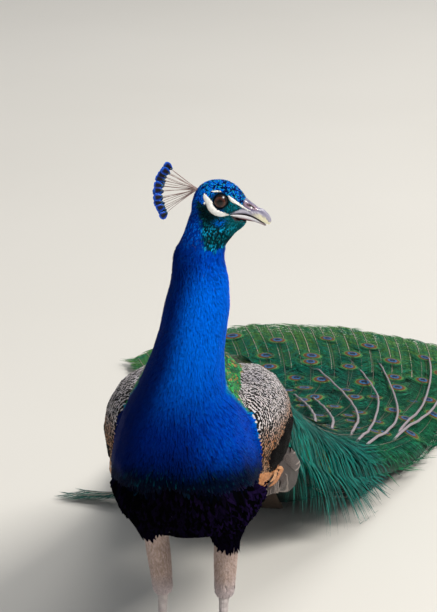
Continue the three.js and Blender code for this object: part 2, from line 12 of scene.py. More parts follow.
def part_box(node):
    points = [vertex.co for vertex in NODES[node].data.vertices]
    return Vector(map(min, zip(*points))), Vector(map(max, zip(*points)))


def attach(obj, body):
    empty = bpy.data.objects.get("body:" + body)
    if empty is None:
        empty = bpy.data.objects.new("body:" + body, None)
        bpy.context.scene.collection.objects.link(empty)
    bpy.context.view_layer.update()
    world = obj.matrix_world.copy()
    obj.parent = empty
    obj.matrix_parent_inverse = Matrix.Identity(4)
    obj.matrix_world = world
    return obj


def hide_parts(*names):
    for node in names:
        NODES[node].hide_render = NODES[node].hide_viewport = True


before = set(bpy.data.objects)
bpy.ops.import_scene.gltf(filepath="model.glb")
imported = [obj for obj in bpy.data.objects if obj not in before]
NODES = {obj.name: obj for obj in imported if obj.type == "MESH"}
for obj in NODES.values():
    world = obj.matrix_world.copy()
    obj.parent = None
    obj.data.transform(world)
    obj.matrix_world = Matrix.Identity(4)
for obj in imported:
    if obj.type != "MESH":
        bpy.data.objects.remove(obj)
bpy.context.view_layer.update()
MM = 0.001
SIDES = {"left": 1, "right": -1}
BOTH = ("left", "right")

# ---- Places ---------------------------------------------------------------------------------
# Body places are in millimetres from the point on the floor midway between the ankles; the bird
# faces -Y and its left is +X. Head places are forward, side and up from the level of the eyes.
SHANKS = [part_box(f"shank_{side}") for side in BOTH]
ORIGIN = np.array([sum(low.x + high.x for low, high in SHANKS) / 4, SHANKS[0][0].y + 3.6 * MM, 0])
EYES = [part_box(f"eye_{side}") for side in BOTH]
EYE_LEVEL = (EYES[0][0].z + EYES[0][1].z) / 2
MIDLINE = 5          # x of the trunk's middle, mm
HEAD = np.array([(EYES[0][0].x + EYES[0][1].x) / 2, (EYES[0][1].y + EYES[1][0].y) / 2, EYE_LEVEL])


def at(*mm):
    """Body millimetres to metres in the frame; takes three numbers or an array of points."""
    return ORIGIN + np.asarray(mm if len(mm) == 3 else mm[0], float) * MM


def body_mm(points):
    """Body millimetres of points in metres."""
    return (np.asarray(points) - ORIGIN) / MM


def x_mm(points):
    return body_mm(points)[:, 0]


def y_mm(points):
    return body_mm(points)[:, 1]


def z_mm(points):
    return body_mm(points)[:, 2]


def head_at(*mm):
    """Head millimetres to metres in the frame."""
    return HEAD + np.asarray(mm if len(mm) == 3 else mm[0], float) * MM


def head_mm(points):
    """Head millimetres of points in metres."""
    return (np.asarray(points) - HEAD) / MM


def smooth(low, high, value):
    """0 below low, 1 above high, and an S-curve between."""
    t = np.clip((np.asarray(value, float) - low) / (high - low), 0, 1)
    return t * t * (3 - 2 * t)


def mix(a, b, f):
    """From a at share 0 to b at share 1."""
    f = np.asarray(f, float)[..., None]
    return np.asarray(a, float) * (1 - f) + np.asarray(b, float) * f


def between(first, last, f):
    """Colours from one hex code to another, at shares f."""
    return mix(colour(first), colour(last), f)


def stack(*coordinates):
    """Points from arrays of coordinates, broadcast to one shape."""
    return np.stack(np.broadcast_arrays(*coordinates), -1)


def bell(reach):
    """1 where reach is 0, falling to 0 like a bell."""
    return np.exp(-reach ** 2)


def unit(v):
    return v / np.maximum(np.linalg.norm(v, axis=-1, keepdims=True), 1e-12)


def colour(code):
    """An sRGB hex code as linear red, green and blue."""
    s = np.array([code >> 16 & 255, code >> 8 & 255, code & 255]) / 255
    return np.where(s <= 0.04045, s / 12.92, ((s + 0.055) / 1.055) ** 2.4)


def wobble(points, size, seed=0):
    """Smooth pseudo-random value from -1 to 1 at each point, with bumps of about that size (mm)."""
    p = np.asarray(points) * (2 * math.pi / size) + seed * 7.31
    x, y, z = p[..., 0], p[..., 1], p[..., 2]
    waves = (np.sin(x + 1.7 * np.sin(0.61 * y + 1.1)) + np.sin(1.13 * y + 1.9 * np.sin(0.53 * z))
             + np.sin(0.91 * z + 1.6 * np.sin(0.67 * x + 0.4)))
    return waves / 3


# ---- Mesh helpers ---------------------------------------------------------------------------

def new_object(name, data, material=None):
    """An object in the scene, for a mesh, a lamp or a camera."""
    thing = bpy.data.objects.new(name, data)
    bpy.context.scene.collection.objects.link(thing)
    if material:
        data.materials.append(material)
    return thing


def mesh_from(name, points, faces):
    """A smooth-shaded mesh from an array of points and a list of equal-length face arrays."""
    mesh = bpy.data.meshes.new(name)
    mesh.vertices.add(len(points))
    mesh.vertices.foreach_set("co", np.asarray(points, np.float32).ravel())
    corners = np.concatenate([np.asarray(f, np.int32).ravel() for f in faces])
    totals = np.concatenate([np.full(len(f), np.shape(f)[1], np.int32) for f in faces])
    mesh.loops.add(len(corners))
    mesh.loops.foreach_set("vertex_index", corners)
    mesh.polygons.add(len(totals))
    mesh.polygons.foreach_set("loop_start", np.concatenate([[0], np.cumsum(totals)[:-1]]).astype(np.int32))
    mesh.polygons.foreach_set("loop_total", totals)
    mesh.polygons.foreach_set("use_smooth", np.ones(len(totals), bool))
    mesh.update(calc_edges=True)
    return mesh


def set_tint(mesh, values):
    """Gives a mesh one colour, or a colour for each of its points."""
    rgba = np.ones((len(mesh.vertices), 4), np.float32)
    rgba[:, :3] = values
    layer = mesh.attributes.new("Tint", "FLOAT_COLOR", "POINT")
    layer.data.foreach_set("color", rgba.ravel())


def set_uv(mesh, name, per_vertex):
    corners = np.empty(len(mesh.loops), np.int32)
    mesh.loops.foreach_get("vertex_index", corners)
    layer = mesh.uv_layers.new(name=name)
    layer.data.foreach_set("uv", np.asarray(per_vertex, np.float32)[corners].ravel())


def vertices_of(mesh):
    points = np.empty(len(mesh.vertices) * 3, np.float32)
    mesh.vertices.foreach_get("co", points)
    return points.reshape(-1, 3).astype(float)


def normals_of(mesh):
    normals = np.empty(len(mesh.vertices) * 3, np.float32)
    mesh.vertices.foreach_get("normal", normals)
    return normals.reshape(-1, 3).astype(float)


def edges_of(mesh):
    ends = np.empty(len(mesh.edges) * 2, np.int32)
    mesh.edges.foreach_get("vertices", ends)
    return ends.reshape(-1, 2)


def move_to(mesh, points):
    mesh.vertices.foreach_set("co", np.asarray(points, np.float32).ravel())
    mesh.update()


SHRINK, GROW = 0.6, -0.56   # the two steps of Taubin smoothing


def relax(mesh, rounds, where=None):
    """Evens out a mesh's surface without shrinking it much (Taubin smoothing)."""
    points, ends = vertices_of(mesh), edges_of(mesh)
    count = np.maximum(np.bincount(ends.ravel(), minlength=len(points)), 1)[:, None]
    weight = 1 if where is None else where[:, None]
    for i in range(2 * rounds):
        total = np.zeros_like(points)
        for axis in range(3):
            total[:, axis] = (np.bincount(ends[:, 0], points[ends[:, 1], axis], len(points))
                              + np.bincount(ends[:, 1], points[ends[:, 0], axis], len(points)))
        points += weight * (SHRINK if i % 2 == 0 else GROW) * (total / count - points)
    move_to(mesh, points)


VOXEL = 3.0          # cell size of the remeshed skin and wing cores, mm


def remeshed(name, nodes):
    """One closed mesh round several CAD nodes, without the gaps between them."""
    whole = bmesh.new()
    for node in nodes:
        whole.from_mesh(NODES[node].data)
    bmesh.ops.remove_doubles(whole, verts=whole.verts, dist=0.01 * MM)
    rough = bpy.data.meshes.new(name + "_rough")
    whole.to_mesh(rough)
    whole.free()
    thing = new_object(name + "_rough", rough)
    step = thing.modifiers.new("remesh", "REMESH")
    step.mode = "VOXEL"
    step.voxel_size = VOXEL * MM
    fine = bpy.data.meshes.new_from_object(thing.evaluated_get(bpy.context.evaluated_depsgraph_get()))
    bpy.data.objects.remove(thing)
    fine.name = name
    drop_small_islands(fine)
    return fine


def drop_small_islands(mesh):
    """Keeps the largest connected piece of a mesh."""
    points, ends = len(mesh.vertices), edges_of(mesh)
    label = np.arange(points)
    while True:
        low = np.minimum(label[ends[:, 0]], label[ends[:, 1]])
        before = label.copy()
        np.minimum.at(label, ends[:, 0], low)
        np.minimum.at(label, ends[:, 1], low)
        label = label[label]
        if (label == before).all():
            break
    main = np.bincount(label).argmax()
    if (label == main).all():
        return
    work = bmesh.new()
    work.from_mesh(mesh)
    bmesh.ops.delete(work, geom=[v for v in work.verts if label[v.index] != main], context="VERTS")
    work.to_mesh(mesh)
    work.free()


def grid_faces(rows, columns, closed=True):
    """Quads between neighbouring rows of a grid of points; closed joins the last column to the first."""
    r, c = np.meshgrid(np.arange(rows - 1), np.arange(columns if closed else columns - 1), indexing="ij")
    a = r * columns + c
    b = r * columns + (c + 1) % columns
    return np.stack([a, b, b + columns, a + columns], -1).reshape(-1, 4)


def copies(faces, count, points):
    """The same faces for count pieces that have that many points each."""
    return (faces[None] + np.arange(count)[:, None, None] * points).reshape(-1, faces.shape[1])


def turns(columns):
    """Equal angles round a ring, as a row."""
    return (np.arange(columns) * 2 * math.pi / columns)[None]


def capped(rings):
    """Points and faces of a closed body from rings of equal count (rows, columns, 3)."""
    rows, columns = rings.shape[:2]
    points = np.vstack([rings.reshape(-1, 3), rings[0].mean(0), rings[-1].mean(0)])
    k = np.arange(columns)
    nxt = (k + 1) % columns
    hub = rows * columns
    end = (rows - 1) * columns
    caps = np.concatenate([stack(nxt, k, hub), stack(end + k, end + nxt, hub + 1)])
    return points, [grid_faces(rows, columns), caps]


def tube(path, radii, sides):
    """Points and faces of a closed tube along a path (metres), with a radius at each point."""
    path, radii = np.asarray(path, float), np.asarray(radii, float)
    ahead = unit(np.gradient(path, axis=0))
    up = np.array([0, 0, 1.0]) if abs(ahead[0][2]) < 0.9 else np.array([0, 1.0, 0])
    side = unit(np.cross(ahead, up))
    lift = unit(np.cross(side, ahead))
    turn = turns(sides)[..., None]
    out = np.cos(turn) * side[:, None] + np.sin(turn) * lift[:, None]
    return capped(path[:, None] + out * radii[:, None, None])


def join(parts):
    """One set of points and faces from several."""
    points, faces, start = [], {}, 0
    for p, fs in parts:
        points.append(p)
        for f in fs:
            faces.setdefault(f.shape[1], []).append(f + start)
        start += len(p)
    return np.vstack(points), [np.concatenate(faces[n]) for n in sorted(faces)]


# ---- Materials ------------------------------------------------------------------------------

class Shader:
    """A Principled material with short ways to add nodes."""

    def __init__(self, name, roughness=0.5, **sockets):
        self.material = bpy.data.materials.new(name)
        self.material.use_nodes = True
        self.tree = self.material.node_tree
        self.bsdf = self.tree.nodes["Principled BSDF"]
        self.bsdf.inputs["Roughness"].default_value = roughness
        for socket, value in sockets.items():
            self.bsdf.inputs[socket.replace("_", " ")].default_value = value

    def add(self, kind, settings=(), **inputs):
        node = self.tree.nodes.new("ShaderNode" + kind)
        for key, value in dict(settings).items():
            setattr(node, key, value)
        for key, value in inputs.items():
            self.put(value, node.inputs[key.replace("_", " ")])
        return node

    def put(self, value, socket):
        if isinstance(value, bpy.types.NodeSocket):
            self.tree.links.new(value, socket)
        else:
            socket.default_value = value

    def math(self, operation, a, b=0.0, c=0.0):
        node = self.add("Math", {"operation": operation})
        for value, socket in zip((a, b, c), node.inputs):
            self.put(value, socket)
        return node.outputs[0]

    def vector(self, operation, *values):
        node = self.add("VectorMath", {"operation": operation})
        for value, socket in zip(values, node.inputs):
            self.put(value, socket)
        return node

    def blend(self, factor, a, b):
        node = self.add("Mix", {"data_type": "RGBA"})
        for value, index in ((factor, 0), (a, 6), (b, 7)):
            if isinstance(value, (tuple, list, np.ndarray)) and len(value) == 3:
                value = (*value, 1)
            self.put(value, node.inputs[index])
        return node.outputs[2]

    def step(self, value, low, high):
        """0 where value is under low, 1 over high, and an S-curve between."""
        node = self.add("MapRange", {"interpolation_type": "SMOOTHSTEP"}, Value=value)
        node.inputs["From Min"].default_value = low
        node.inputs["From Max"].default_value = high
        return node.outputs["Result"]

    def tint(self):
        return self.add("Attribute", {"attribute_name": "Tint"}).outputs["Color"]

    def vane(self):
        """Across (0 to 1, shaft at 0.5) and along (0 at the root) on each feather."""
        uv = self.add("UVMap", {"uv_map": "Vane"}).outputs[0]
        split = self.add("SeparateXYZ", Vector=uv)
        return split.outputs[0], split.outputs[1]

    def place(self):
        return self.add("TexCoord").outputs["Object"]

    def noise(self, scale, detail=3.0):
        return self.add("TexNoise", Vector=self.place(), Scale=scale, Detail=detail).outputs["Fac"]

    def colour(self, value):
        self.put(value, self.bsdf.inputs["Base Color"])

    def bump(self, height, distance):
        node = self.add("Bump", Height=height, Distance=distance * MM, Strength=1.0)
        self.put(node.outputs[0], self.bsdf.inputs["Normal"])


def rgb(code):
    """An sRGB hex code as a shader's colour."""
    return (*colour(code), 1)


def skin_material():
    """The ground under the feathers."""
    s = Shader("skin", roughness=0.75)
    grain = s.noise(700, 4)
    s.colour(s.blend(s.step(grain, 0.3, 0.7), s.blend(0.45, s.tint(), (0, 0, 0)), s.tint()))
    s.bump(grain, 0.5)
    return s.material


def feather_material(name, roughness, barbs, depth, dark, metallic=0.0, hem=0.0, hem_tint=(0, 0, 0), **more):
    """Feathers coloured by their tint, with slanting barbs and, where asked, a hem.

    barbs is their number along a feather, depth their relief in mm, dark how much darker the
    feather is between them, and hem the strength of the hem."""
    s = Shader(name, roughness=roughness, Metallic=metallic, **more)
    across, along = s.vane()
    side = s.math("ABSOLUTE", s.math("SUBTRACT", across, 0.5))
    slant = s.math("SUBTRACT", along, s.math("MULTIPLY", side, 0.55))
    wave = s.math("SINE", s.math("MULTIPLY", slant, barbs * 2 * math.pi))
    ripple = s.math("MULTIPLY_ADD", wave, 0.5, 0.5)
    patch = s.noise(260, 3)
    shade = s.math("MULTIPLY", s.math("ADD", ripple, patch), 0.5)
    base = s.tint()
    base = s.blend(s.step(shade, 0.75, 0.2), base, s.blend(1 - dark, (0, 0, 0), base))
    if hem:
        reach = s.math("ADD", s.math("POWER", s.math("MULTIPLY", side, 2), 2.5), s.math("POWER", along, 5))
        base = s.blend(s.math("MULTIPLY", s.step(reach, 0.45, 0.85), hem), base, hem_tint)
    s.colour(base)
    s.bump(ripple, depth)
    return s.material


BAR = 4.6            # width of a black bar and the pale gap beside it, mm


def barred_material():
    """Wing coverts: pale ground in the feather's tint with wavy black bars that ring the shoulder."""
    s = Shader("barred_coverts", roughness=0.6, Specular_IOR_Level=0.2)
    across, along = s.vane()
    centre = at(MIDLINE, *SHOULDER)
    offset = s.vector("SUBTRACT", s.place(), tuple(centre)).outputs[0]
    distance = s.vector("LENGTH", s.vector("MULTIPLY", offset, (0, 1, 1)).outputs[0])
    drift = s.math("ADD", s.math("MULTIPLY", s.noise(55, 2), 1.4), s.math("MULTIPLY", s.noise(190, 2), 0.9))
    phase = s.math("MULTIPLY_ADD", distance.outputs["Value"], 1 / (BAR * MM), drift)
    wave = s.math("SINE", s.math("MULTIPLY", phase, 2 * math.pi))
    broken = s.math("MULTIPLY_ADD", s.math("SUBTRACT", s.noise(430, 2), 0.5), 2.2, wave)
    bar = s.step(broken, 0.28, 0.5)
    base = s.blend(bar, rgb(0x0E0B0A), s.tint())
    fine = s.math("SINE", s.math("MULTIPLY", s.math("ADD", along, s.math("MULTIPLY", across, 0.4)), 150))
    s.colour(s.blend(s.step(fine, 1.4, -1.4), base, s.blend(0.8, (0, 0, 0), base)))
    s.bump(fine, 0.12)
    return s.material


def tinted_material(name, roughness, grain_scale=500, depth=0.2, low=0.6, **more):
    """A surface coloured by its tint, with a fine grain.

    depth is the grain's relief in mm, and low how bright its dark spots are."""
    s = Shader(name, roughness=roughness, **more)
    grain = s.noise(grain_scale, 4)
    s.colour(s.blend(s.step(grain, 0.32, 0.68), s.blend(low, (0, 0, 0), s.tint()), s.tint()))
    s.bump(grain, depth)
    return s.material


def eye_material():
    """Along runs from the pupil's centre (0) to the edge of the eyeball (1)."""
    s = Shader("wet_eye", roughness=0.3, Specular_IOR_Level=0.2, Coat_Weight=0.7, Coat_Roughness=0.03,
               Coat_IOR=1.33)
    around, out = s.vane()
    streak = s.math("SINE", s.math("MULTIPLY", around, 2 * math.pi * 38))
    iris = s.blend(s.step(streak, -1, 1), rgb(0x1C0B08), rgb(0x38190F))
    iris = s.blend(s.step(out, 0.40, 0.60), iris, rgb(0x4A2419))
    base = s.blend(s.step(out, 0.31, 0.35), rgb(0x020202), iris)
    s.colour(s.blend(s.step(out, 0.58, 0.66), base, rgb(0x080506)))
    return s.material


def floor_material():
    s = Shader("studio_floor", roughness=0.9)
    cloud = s.noise(0.8, 3)
    s.colour(s.blend(cloud, rgb(0xC9C6BF), rgb(0xD3D0CA)))
    return s.material


def part(name, points, faces, material, slot, nodes=(), tint=None, vane=None, home=None):
    """A finished piece of the bird, riding on the one body."""
    mesh = mesh_from(name, points, faces)
    if home is not None:
        set_uv(mesh, "OFBake", home)
    if vane is not None:
        set_uv(mesh, "Vane", vane)
    if tint is not None:
        set_tint(mesh, tint)
    return finish_piece(new_object(name, mesh, material), slot, nodes)


def finish_piece(piece, slot, nodes=()):
    """Ties a piece to the one body and hides the CAD nodes it stands for; its slot is not used."""
    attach(piece, "root")
    if nodes:
        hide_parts(*nodes)
    return piece


# ---- Skin -----------------------------------------------------------------------------------

FLESH = ["head", "neck_upper", "neck_middle", "neck_lower", "breast", "trunk", "rump",
         *(f"{node}_{side}" for side in BOTH for node in ("wing_coverts", "wing_secondaries", "thigh"))]
EYE_BALL = 10.6      # radius of the eyeball, mm
EYE_INSET = 8.0      # its centre from the head's mid-plane, mm
COAT = 3.4           # depth of the body's plumage, mm
FACE_COAT = 0.9      # and of the head's


def nodes_surface(nodes):
    """A search tree over CAD nodes, with the node's name for each of its faces."""
    points, faces, names = [], [], []
    for node in nodes:
        mesh = NODES[node].data
        start = len(points)
        points.extend(v.co.copy() for v in mesh.vertices)
        for polygon in mesh.polygons:
            faces.append([start + i for i in polygon.vertices])
            names.append(node)
    return BVHTree.FromPolygons(points, faces), names


def coat_depth(points):
    """How far the skin lies inside the tips of the coat, in mm, at points in metres."""
    up = head_mm(points)[:, 2]
    deep = FACE_COAT + (COAT - FACE_COAT) * smooth(-25, -95, up)
    return deep * (1 - 0.6 * smooth(250, 205, body_mm(points)[:, 2]))


def near_eye(points):
    """Distance in mm from the axis through both eyes."""
    p = head_mm(points)
    return np.hypot(p[:, 0], p[:, 2])


def refine_head(mesh):
    """Splits the head's faces so that lids and bare patches have a fine surface."""
    work = bmesh.new()
    work.from_mesh(mesh)
    low = head_at(0, 0, -38)[2]
    behind = head_at(-40, 0, 0)[0]
    edges = [e for e in work.edges if all(v.co.z > low and v.co.x > behind for v in e.verts)]
    bmesh.ops.subdivide_edges(work, edges=edges, cuts=2, use_grid_fill=True)
    work.to_mesh(mesh)
    work.free()


def feather_line(up):
    """How far forward the face's feathers reach at a height (head mm): the bill's base, then the chin."""
    return np.interp(up, [-28.5, -27.2, -25.4, -19, -17.6, -14.9, -12.8, -8.4, -4.7, -0.5, 3.2, 7],
                     [36, 34, 18, 13, 13, 14.2, 20.8, 28.4, 27.3, 28.3, 30.6, 36])


def shape_face(mesh):
    """Orbits, lids and cheeks, worked into the head's skin."""
    points = vertices_of(mesh)
    p = head_mm(points)
    ring = near_eye(points)
    facing = (np.abs(p[:, 1]) > 6) & (ring < 16)
    outward = np.sign(p[:, 1])
    lid = bell((ring - 8.2) / 1.25) * 1.25
    crease = -bell(ring - 10.6) * 0.5
    socket = -smooth(7.4, 6.2, ring) * 4.5
    brow = np.exp(-((p[:, 0] - 1) / 11) ** 2 - ((p[:, 2] - 12.5) / 3.0) ** 2) * 0.9
    p[:, 1] += np.where(facing, outward * (lid + crease + socket + brow), 0)
    ahead = p[:, 0] - feather_line(p[:, 2])
    base = np.interp(p[:, 0], [12, 20, 28], [9.6, 8.6, 7.6])
    narrow = smooth(-11, -0.5, ahead) * (p[:, 2] > -27.5)
    p[:, 1] = outward * (np.abs(p[:, 1]) * (1 - narrow) + np.minimum(np.abs(p[:, 1]), base) * narrow)
    p[:, 0] -= np.where((ahead > 0) & (p[:, 2] > -26.5), ahead * 0.85, 0)
    move_to(mesh, HEAD + p * MM)


def make_skin():
    """The smooth body under the coat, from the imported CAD."""
    mesh = remeshed("skin", FLESH)
    relax(mesh, 9)
    points, normals = vertices_of(mesh), normals_of(mesh)
    move_to(mesh, points - normals * coat_depth(points)[:, None] * MM)
    relax(mesh, 2)
    points, p = vertices_of(mesh), head_mm(vertices_of(mesh))
    chin = np.exp(-((p[:, 0] - 20) / 9) ** 2 - ((p[:, 2] + 33) / 9) ** 2) * (np.abs(p[:, 1]) < 14)
    move_to(mesh, points + chin[:, None] * np.array([1.8, 0, -0.8]) * MM)
    refine_head(mesh)
    relax(mesh, 3, smooth(-60, -30, head_mm(vertices_of(mesh))[:, 2]))
    shape_face(mesh)
    return mesh


def along(stations, t):
    """Catmull-Rom point at 0..1 along a list of equally spaced stations."""
    s = np.asarray(stations, float)
    last = len(s) - 1
    t = np.asarray(t, float) * last
    i = np.clip(t.astype(int), 0, last - 1)
    f = (t - i)[..., None]
    a, b, c, d = (s[np.clip(i + k, 0, last)] for k in (-1, 0, 1, 2))
    return b + 0.5 * f * (c - a + f * (2 * a - 5 * b + 4 * c - d + f * (3 * (b - c) + d - a)))


# ---- Eyes and bill --------------------------------------------------------------------------

def make_eye(side):
    """The front of the eyeball, turned outwards, with a slightly raised cornea."""
    rings, columns = 26, 48
    angle = np.linspace(0.02, math.radians(88), rings)[:, None]
    turn = turns(columns)
    ball = EYE_BALL + 0.35 * bell(angle / 0.5)
    out, across = ball * np.cos(angle), ball * np.sin(angle)
    points, faces = capped(head_at(stack(across * np.cos(turn), SIDES[side] * (EYE_INSET + out),
                                         across * np.sin(turn) * SIDES[side])))
    vane = np.vstack([stack(turn / (2 * math.pi), np.sin(angle)).reshape(-1, 2), [0, 0], [0, 1]])
    part(f"eyeball_{side}", points, faces, eye_material(), "eye", [f"eye_{side}"], vane=vane)


# Bill outlines: forward, top, cutting edge, underside, half-width, in head millimetres.
UPPER_BILL = [(10, -1.0, -16.4, -18.0, 10.0), (21, 1.6, -15.5, -17.2, 9.2), (28, 2.2, -15.4, -17.0, 8.3),
              (32, 0.2, -16.2, -17.8, 7.8), (36.4, -3.4, -17.6, -19.2, 7.1), (41, -7.0, -19.8, -21.3, 6.3),
              (44.4, -9.5, -21.8, -23.2, 5.8), (47.4, -10.6, -23.9, -25.3, 5.2),
              (51.4, -12.0, -26.8, -28.0, 4.3), (55.1, -15.1, -29.0, -30.0, 3.3),
              (58.4, -18.8, -30.5, -30.9, 2.1), (60.2, -21.8, -29.9, -30.1, 1.2),
              (61.2, -24.6, -27.8, -28.0, 0.5)]
LOWER_BILL = [(10, -17.6, -18.2, -21.0, 10.0), (19, -17.4, -18.3, -23.2, 9.2), (27, -18.2, -19.1, -26.2, 7.8),
              (33, -19.4, -20.3, -27.2, 6.6), (39, -21.8, -22.6, -28.0, 5.4), (44, -24.5, -25.2, -29.1, 4.4),
              (49, -27.5, -28.1, -31.1, 3.1), (52.8, -30.2, -30.7, -32.8, 1.9),
              (54.8, -31.9, -32.2, -33.2, 0.9)]
LILAC_HORN, PALE_HORN, CREAM = colour(0x5E5A78), colour(0xC6C2CE), colour(0xD8D2B4)
FLESH_PINK, MAROON = colour(0xA98088), colour(0x3A1518)
NOSTRIL = {"forward": 36.2, "up": -7.4, "half_length": 5.6, "half_width": 1.3, "tilt": -28}


def bill_half(stations, dome_up, rows=72, columns=44):
    """Rings of one half of the bill, domed above or below its cutting edge, in head millimetres."""
    t = np.linspace(0, 1, rows)
    forward, top, edge, under, half = along(stations, t).T[:, :, None]
    c, s = np.cos(turns(columns)), np.sin(turns(columns))
    width = half * np.sign(c) * np.abs(c) ** (0.85 if dome_up else 0.9)
    return stack(forward, width, edge + (np.where(s > 0, top, under) - edge) * np.abs(s) ** 0.95)


def nostril_reach(p):
    """0 at the middle of the nostril slot, 1 at its rim, more outside, at head millimetres."""
    tilt = math.radians(NOSTRIL["tilt"])
    f, u = p[..., 0] - NOSTRIL["forward"], p[..., 2] - NOSTRIL["up"]
    long = (f * math.cos(tilt) + u * math.sin(tilt)) / NOSTRIL["half_length"]
    wide = (-f * math.sin(tilt) + u * math.cos(tilt)) / NOSTRIL["half_width"]
    return np.hypot(long, wide)


def cutting_edge(stations, rings):
    """Height of the cutting edge and half-width of the bill at each of its rings."""
    place = along(stations, np.linspace(0, 1, len(rings)))
    return place[:, 2:3], place[:, 4:]


def bill_part(name, rings, tint, material, node):
    """One half of the bill, closed with maroon in the head and pale horn at the tip."""
    points, faces = capped(head_at(rings))
    part(name, points, faces, material, "bill_horn", [node],
         tint=np.vstack([tint.reshape(-1, 3), MAROON, PALE_HORN]))


def make_upper_bill(material):
    """Lilac horn with a pale band and a cream rim, flesh round the dark nostril."""
    upper = bill_half(UPPER_BILL, True)
    reach = nostril_reach(upper)
    hood = bell((reach - 1.7) / 0.5) * (upper[..., 2] > NOSTRIL["up"] - 1) * 0.45
    upper[..., 1] += np.sign(upper[..., 1]) * (hood - smooth(1.15, 0.5, reach) * 1.7)
    forward = upper[..., 0]
    over_edge = upper[..., 2] - cutting_edge(UPPER_BILL, upper)[0]
    fore = smooth(33, 50, forward)
    rim = 1.6 + 5.2 * fore * smooth(61, 54, forward)
    tint = mix(LILAC_HORN, PALE_HORN, 0.5 * smooth(42, 60, forward))
    tint = mix(tint, PALE_HORN, 0.85 * smooth(rim + 3.2, rim + 1.2, over_edge) * smooth(56, 46, forward))
    tint = mix(tint, LILAC_HORN, 0.6 * smooth(rim + 1.0, rim + 0.2, over_edge))
    tint = mix(tint, CREAM, smooth(rim, rim - 0.8, over_edge) * fore)
    tint = mix(tint, MAROON, smooth(-0.1, -0.7, over_edge))
    tint = mix(tint, FLESH_PINK, 0.6 * smooth(2.3, 1.2, reach))
    tint = mix(tint, colour(0x120C10), smooth(1.15, 0.85, reach))
    bill_part("upper_mandible", upper, tint, material, "bill_upper")


def make_lower_bill(material):
    """White horn above, dark red below, and maroon inside."""
    lower = bill_half(LOWER_BILL, False)
    edge, half = cutting_edge(LOWER_BILL, lower)
    forward = lower[..., 0]
    under_edge = edge - lower[..., 2]
    tint = mix(colour(0xE4E0E4), FLESH_PINK, smooth(44, 54, forward) * 0.8)
    tint = mix(tint, colour(0x7A3440), smooth(2.6, 4.4, under_edge + 1.6 * smooth(40, 50, forward)))
    tint = mix(tint, colour(0x3A1A20), smooth(4.6, 7.0, under_edge))
    inner = np.abs(lower[..., 1]) / np.maximum(half, 0.1)
    tint = mix(tint, MAROON, smooth(0.85, 0.6, inner) * (under_edge < 0))
    bill_part("lower_mandible", lower, tint, material, "bill_lower")


# Bare white skin on each side of the face: forward, up and half-width along each patch's middle.
FACE_PATCHES = {
    "crescent": [(-19.7, 9.4, 0.5), (-18.2, 5.8, 2.9), (-13.6, -1.0, 4.0), (-10.8, -8.2, 4.1),
                 (-5.9, -12.9, 3.9), (0.8, -15.4, 3.4), (6.5, -16.2, 2.4), (11.1, -17.9, 0.5)],
    "lore": [(9.2, 7.8, 0.5), (11.8, 4.4, 2.2), (16.2, 0.9, 2.4), (20.4, -2.1, 1.7), (24.2, -5.3, 1.5),
             (28.2, -8.7, 1.3), (32.5, -11.5, 1.1), (36.3, -12.6, 0.5)],
    "brow": [(-11.2, 12.6, 0.3), (-7.6, 12.6, 1.0), (-1.6, 12.8, 1.0), (2.4, 11.8, 0.4)],
    "ear": [(-19.6, -0.8, 0.5), (-19.2, -2.0, 1.3), (-18.8, -3.4, 0.5)],
}


def patch_reach(p, name):
    """Distance in mm from a face patch's edge (negative inside), at head millimetres."""
    line = along(FACE_PATCHES[name], np.linspace(0, 1, 40))
    gap = np.hypot(p[..., 0, None] - line[:, 0], p[..., 2, None] - line[:, 1]) - line[:, 2]
    return gap.min(-1)


def bare_face(p):
    """Distance in mm from the nearest bare patch, eye or gape on the face, at head millimetres."""
    reach = np.min([patch_reach(p, name) for name in FACE_PATCHES], 0)
    reach = np.minimum(reach, np.hypot(p[..., 0], p[..., 2]) - 9.0)
    reach = np.where(np.abs(p[..., 1]) > 5, reach, 9.0)
    return np.minimum(reach, feather_line(p[..., 2]) - p[..., 0])


def make_face(skin_tree):
    """The raised white patches, laid on the skin of both cheeks."""
    parts, tints = [], []
    rows, columns = 40, 11
    for side in SIDES.values():
        for stations in FACE_PATCHES.values():
            line = along(stations, np.linspace(0, 1, rows))
            run = unit(np.gradient(line[:, :2], axis=0))
            across = np.linspace(-1, 1, columns)[None]
            forward = line[:, :1] + run[:, 1:] * across * line[:, 2:]
            up = line[:, 1:2] - run[:, :1] * across * line[:, 2:]
            ripple = 0.22 * np.sin(forward * 2.3 + 3 * np.sin(up * 0.9)) + 0.18 * np.sin(up * 2.9 + forward)
            dome = np.sqrt(np.clip(1 - across ** 2, 0, 1)) * np.minimum(line[:, 2:] / 2, 1)
            lift = 0.35 + (1.0 + ripple) * dome
            pad = np.empty((rows, columns, 3))
            for i in range(rows):
                for k in range(columns):
                    start = head_at(forward[i, k], side * 40, up[i, k])
                    hit = skin_tree.ray_cast(Vector(start), Vector((0, -side, 0)))[0]
                    level = abs(head_mm(hit)[1]) if hit else 7.0
                    pad[i, k] = forward[i, k], side * (level + lift[i, k]), up[i, k]
            under = pad - np.array([0, side * 1.6, 0])
            ring = np.concatenate([pad, under[:, ::-1]], 1)
            parts.append(capped(head_at(ring)))
            shade = np.tile(colour(0xF2F1EC), (len(parts[-1][0]), 1))
            tints.append(shade * (0.9 + 0.1 * wobble(head_mm(parts[-1][0]), 4))[:, None])
    points, faces = join(parts)
    part("face_skin", points, faces, tinted_material("bare_face", 0.5, 1500, 0.25, 0.82), "bill_horn",
         tint=np.vstack(tints))


# ---- Plumage: laying feathers ---------------------------------------------------------------

TRIES = 3.2          # random roots drawn for each feather that would fit
CROWDING = 0.82      # share of the spacing that has to stay free round a root


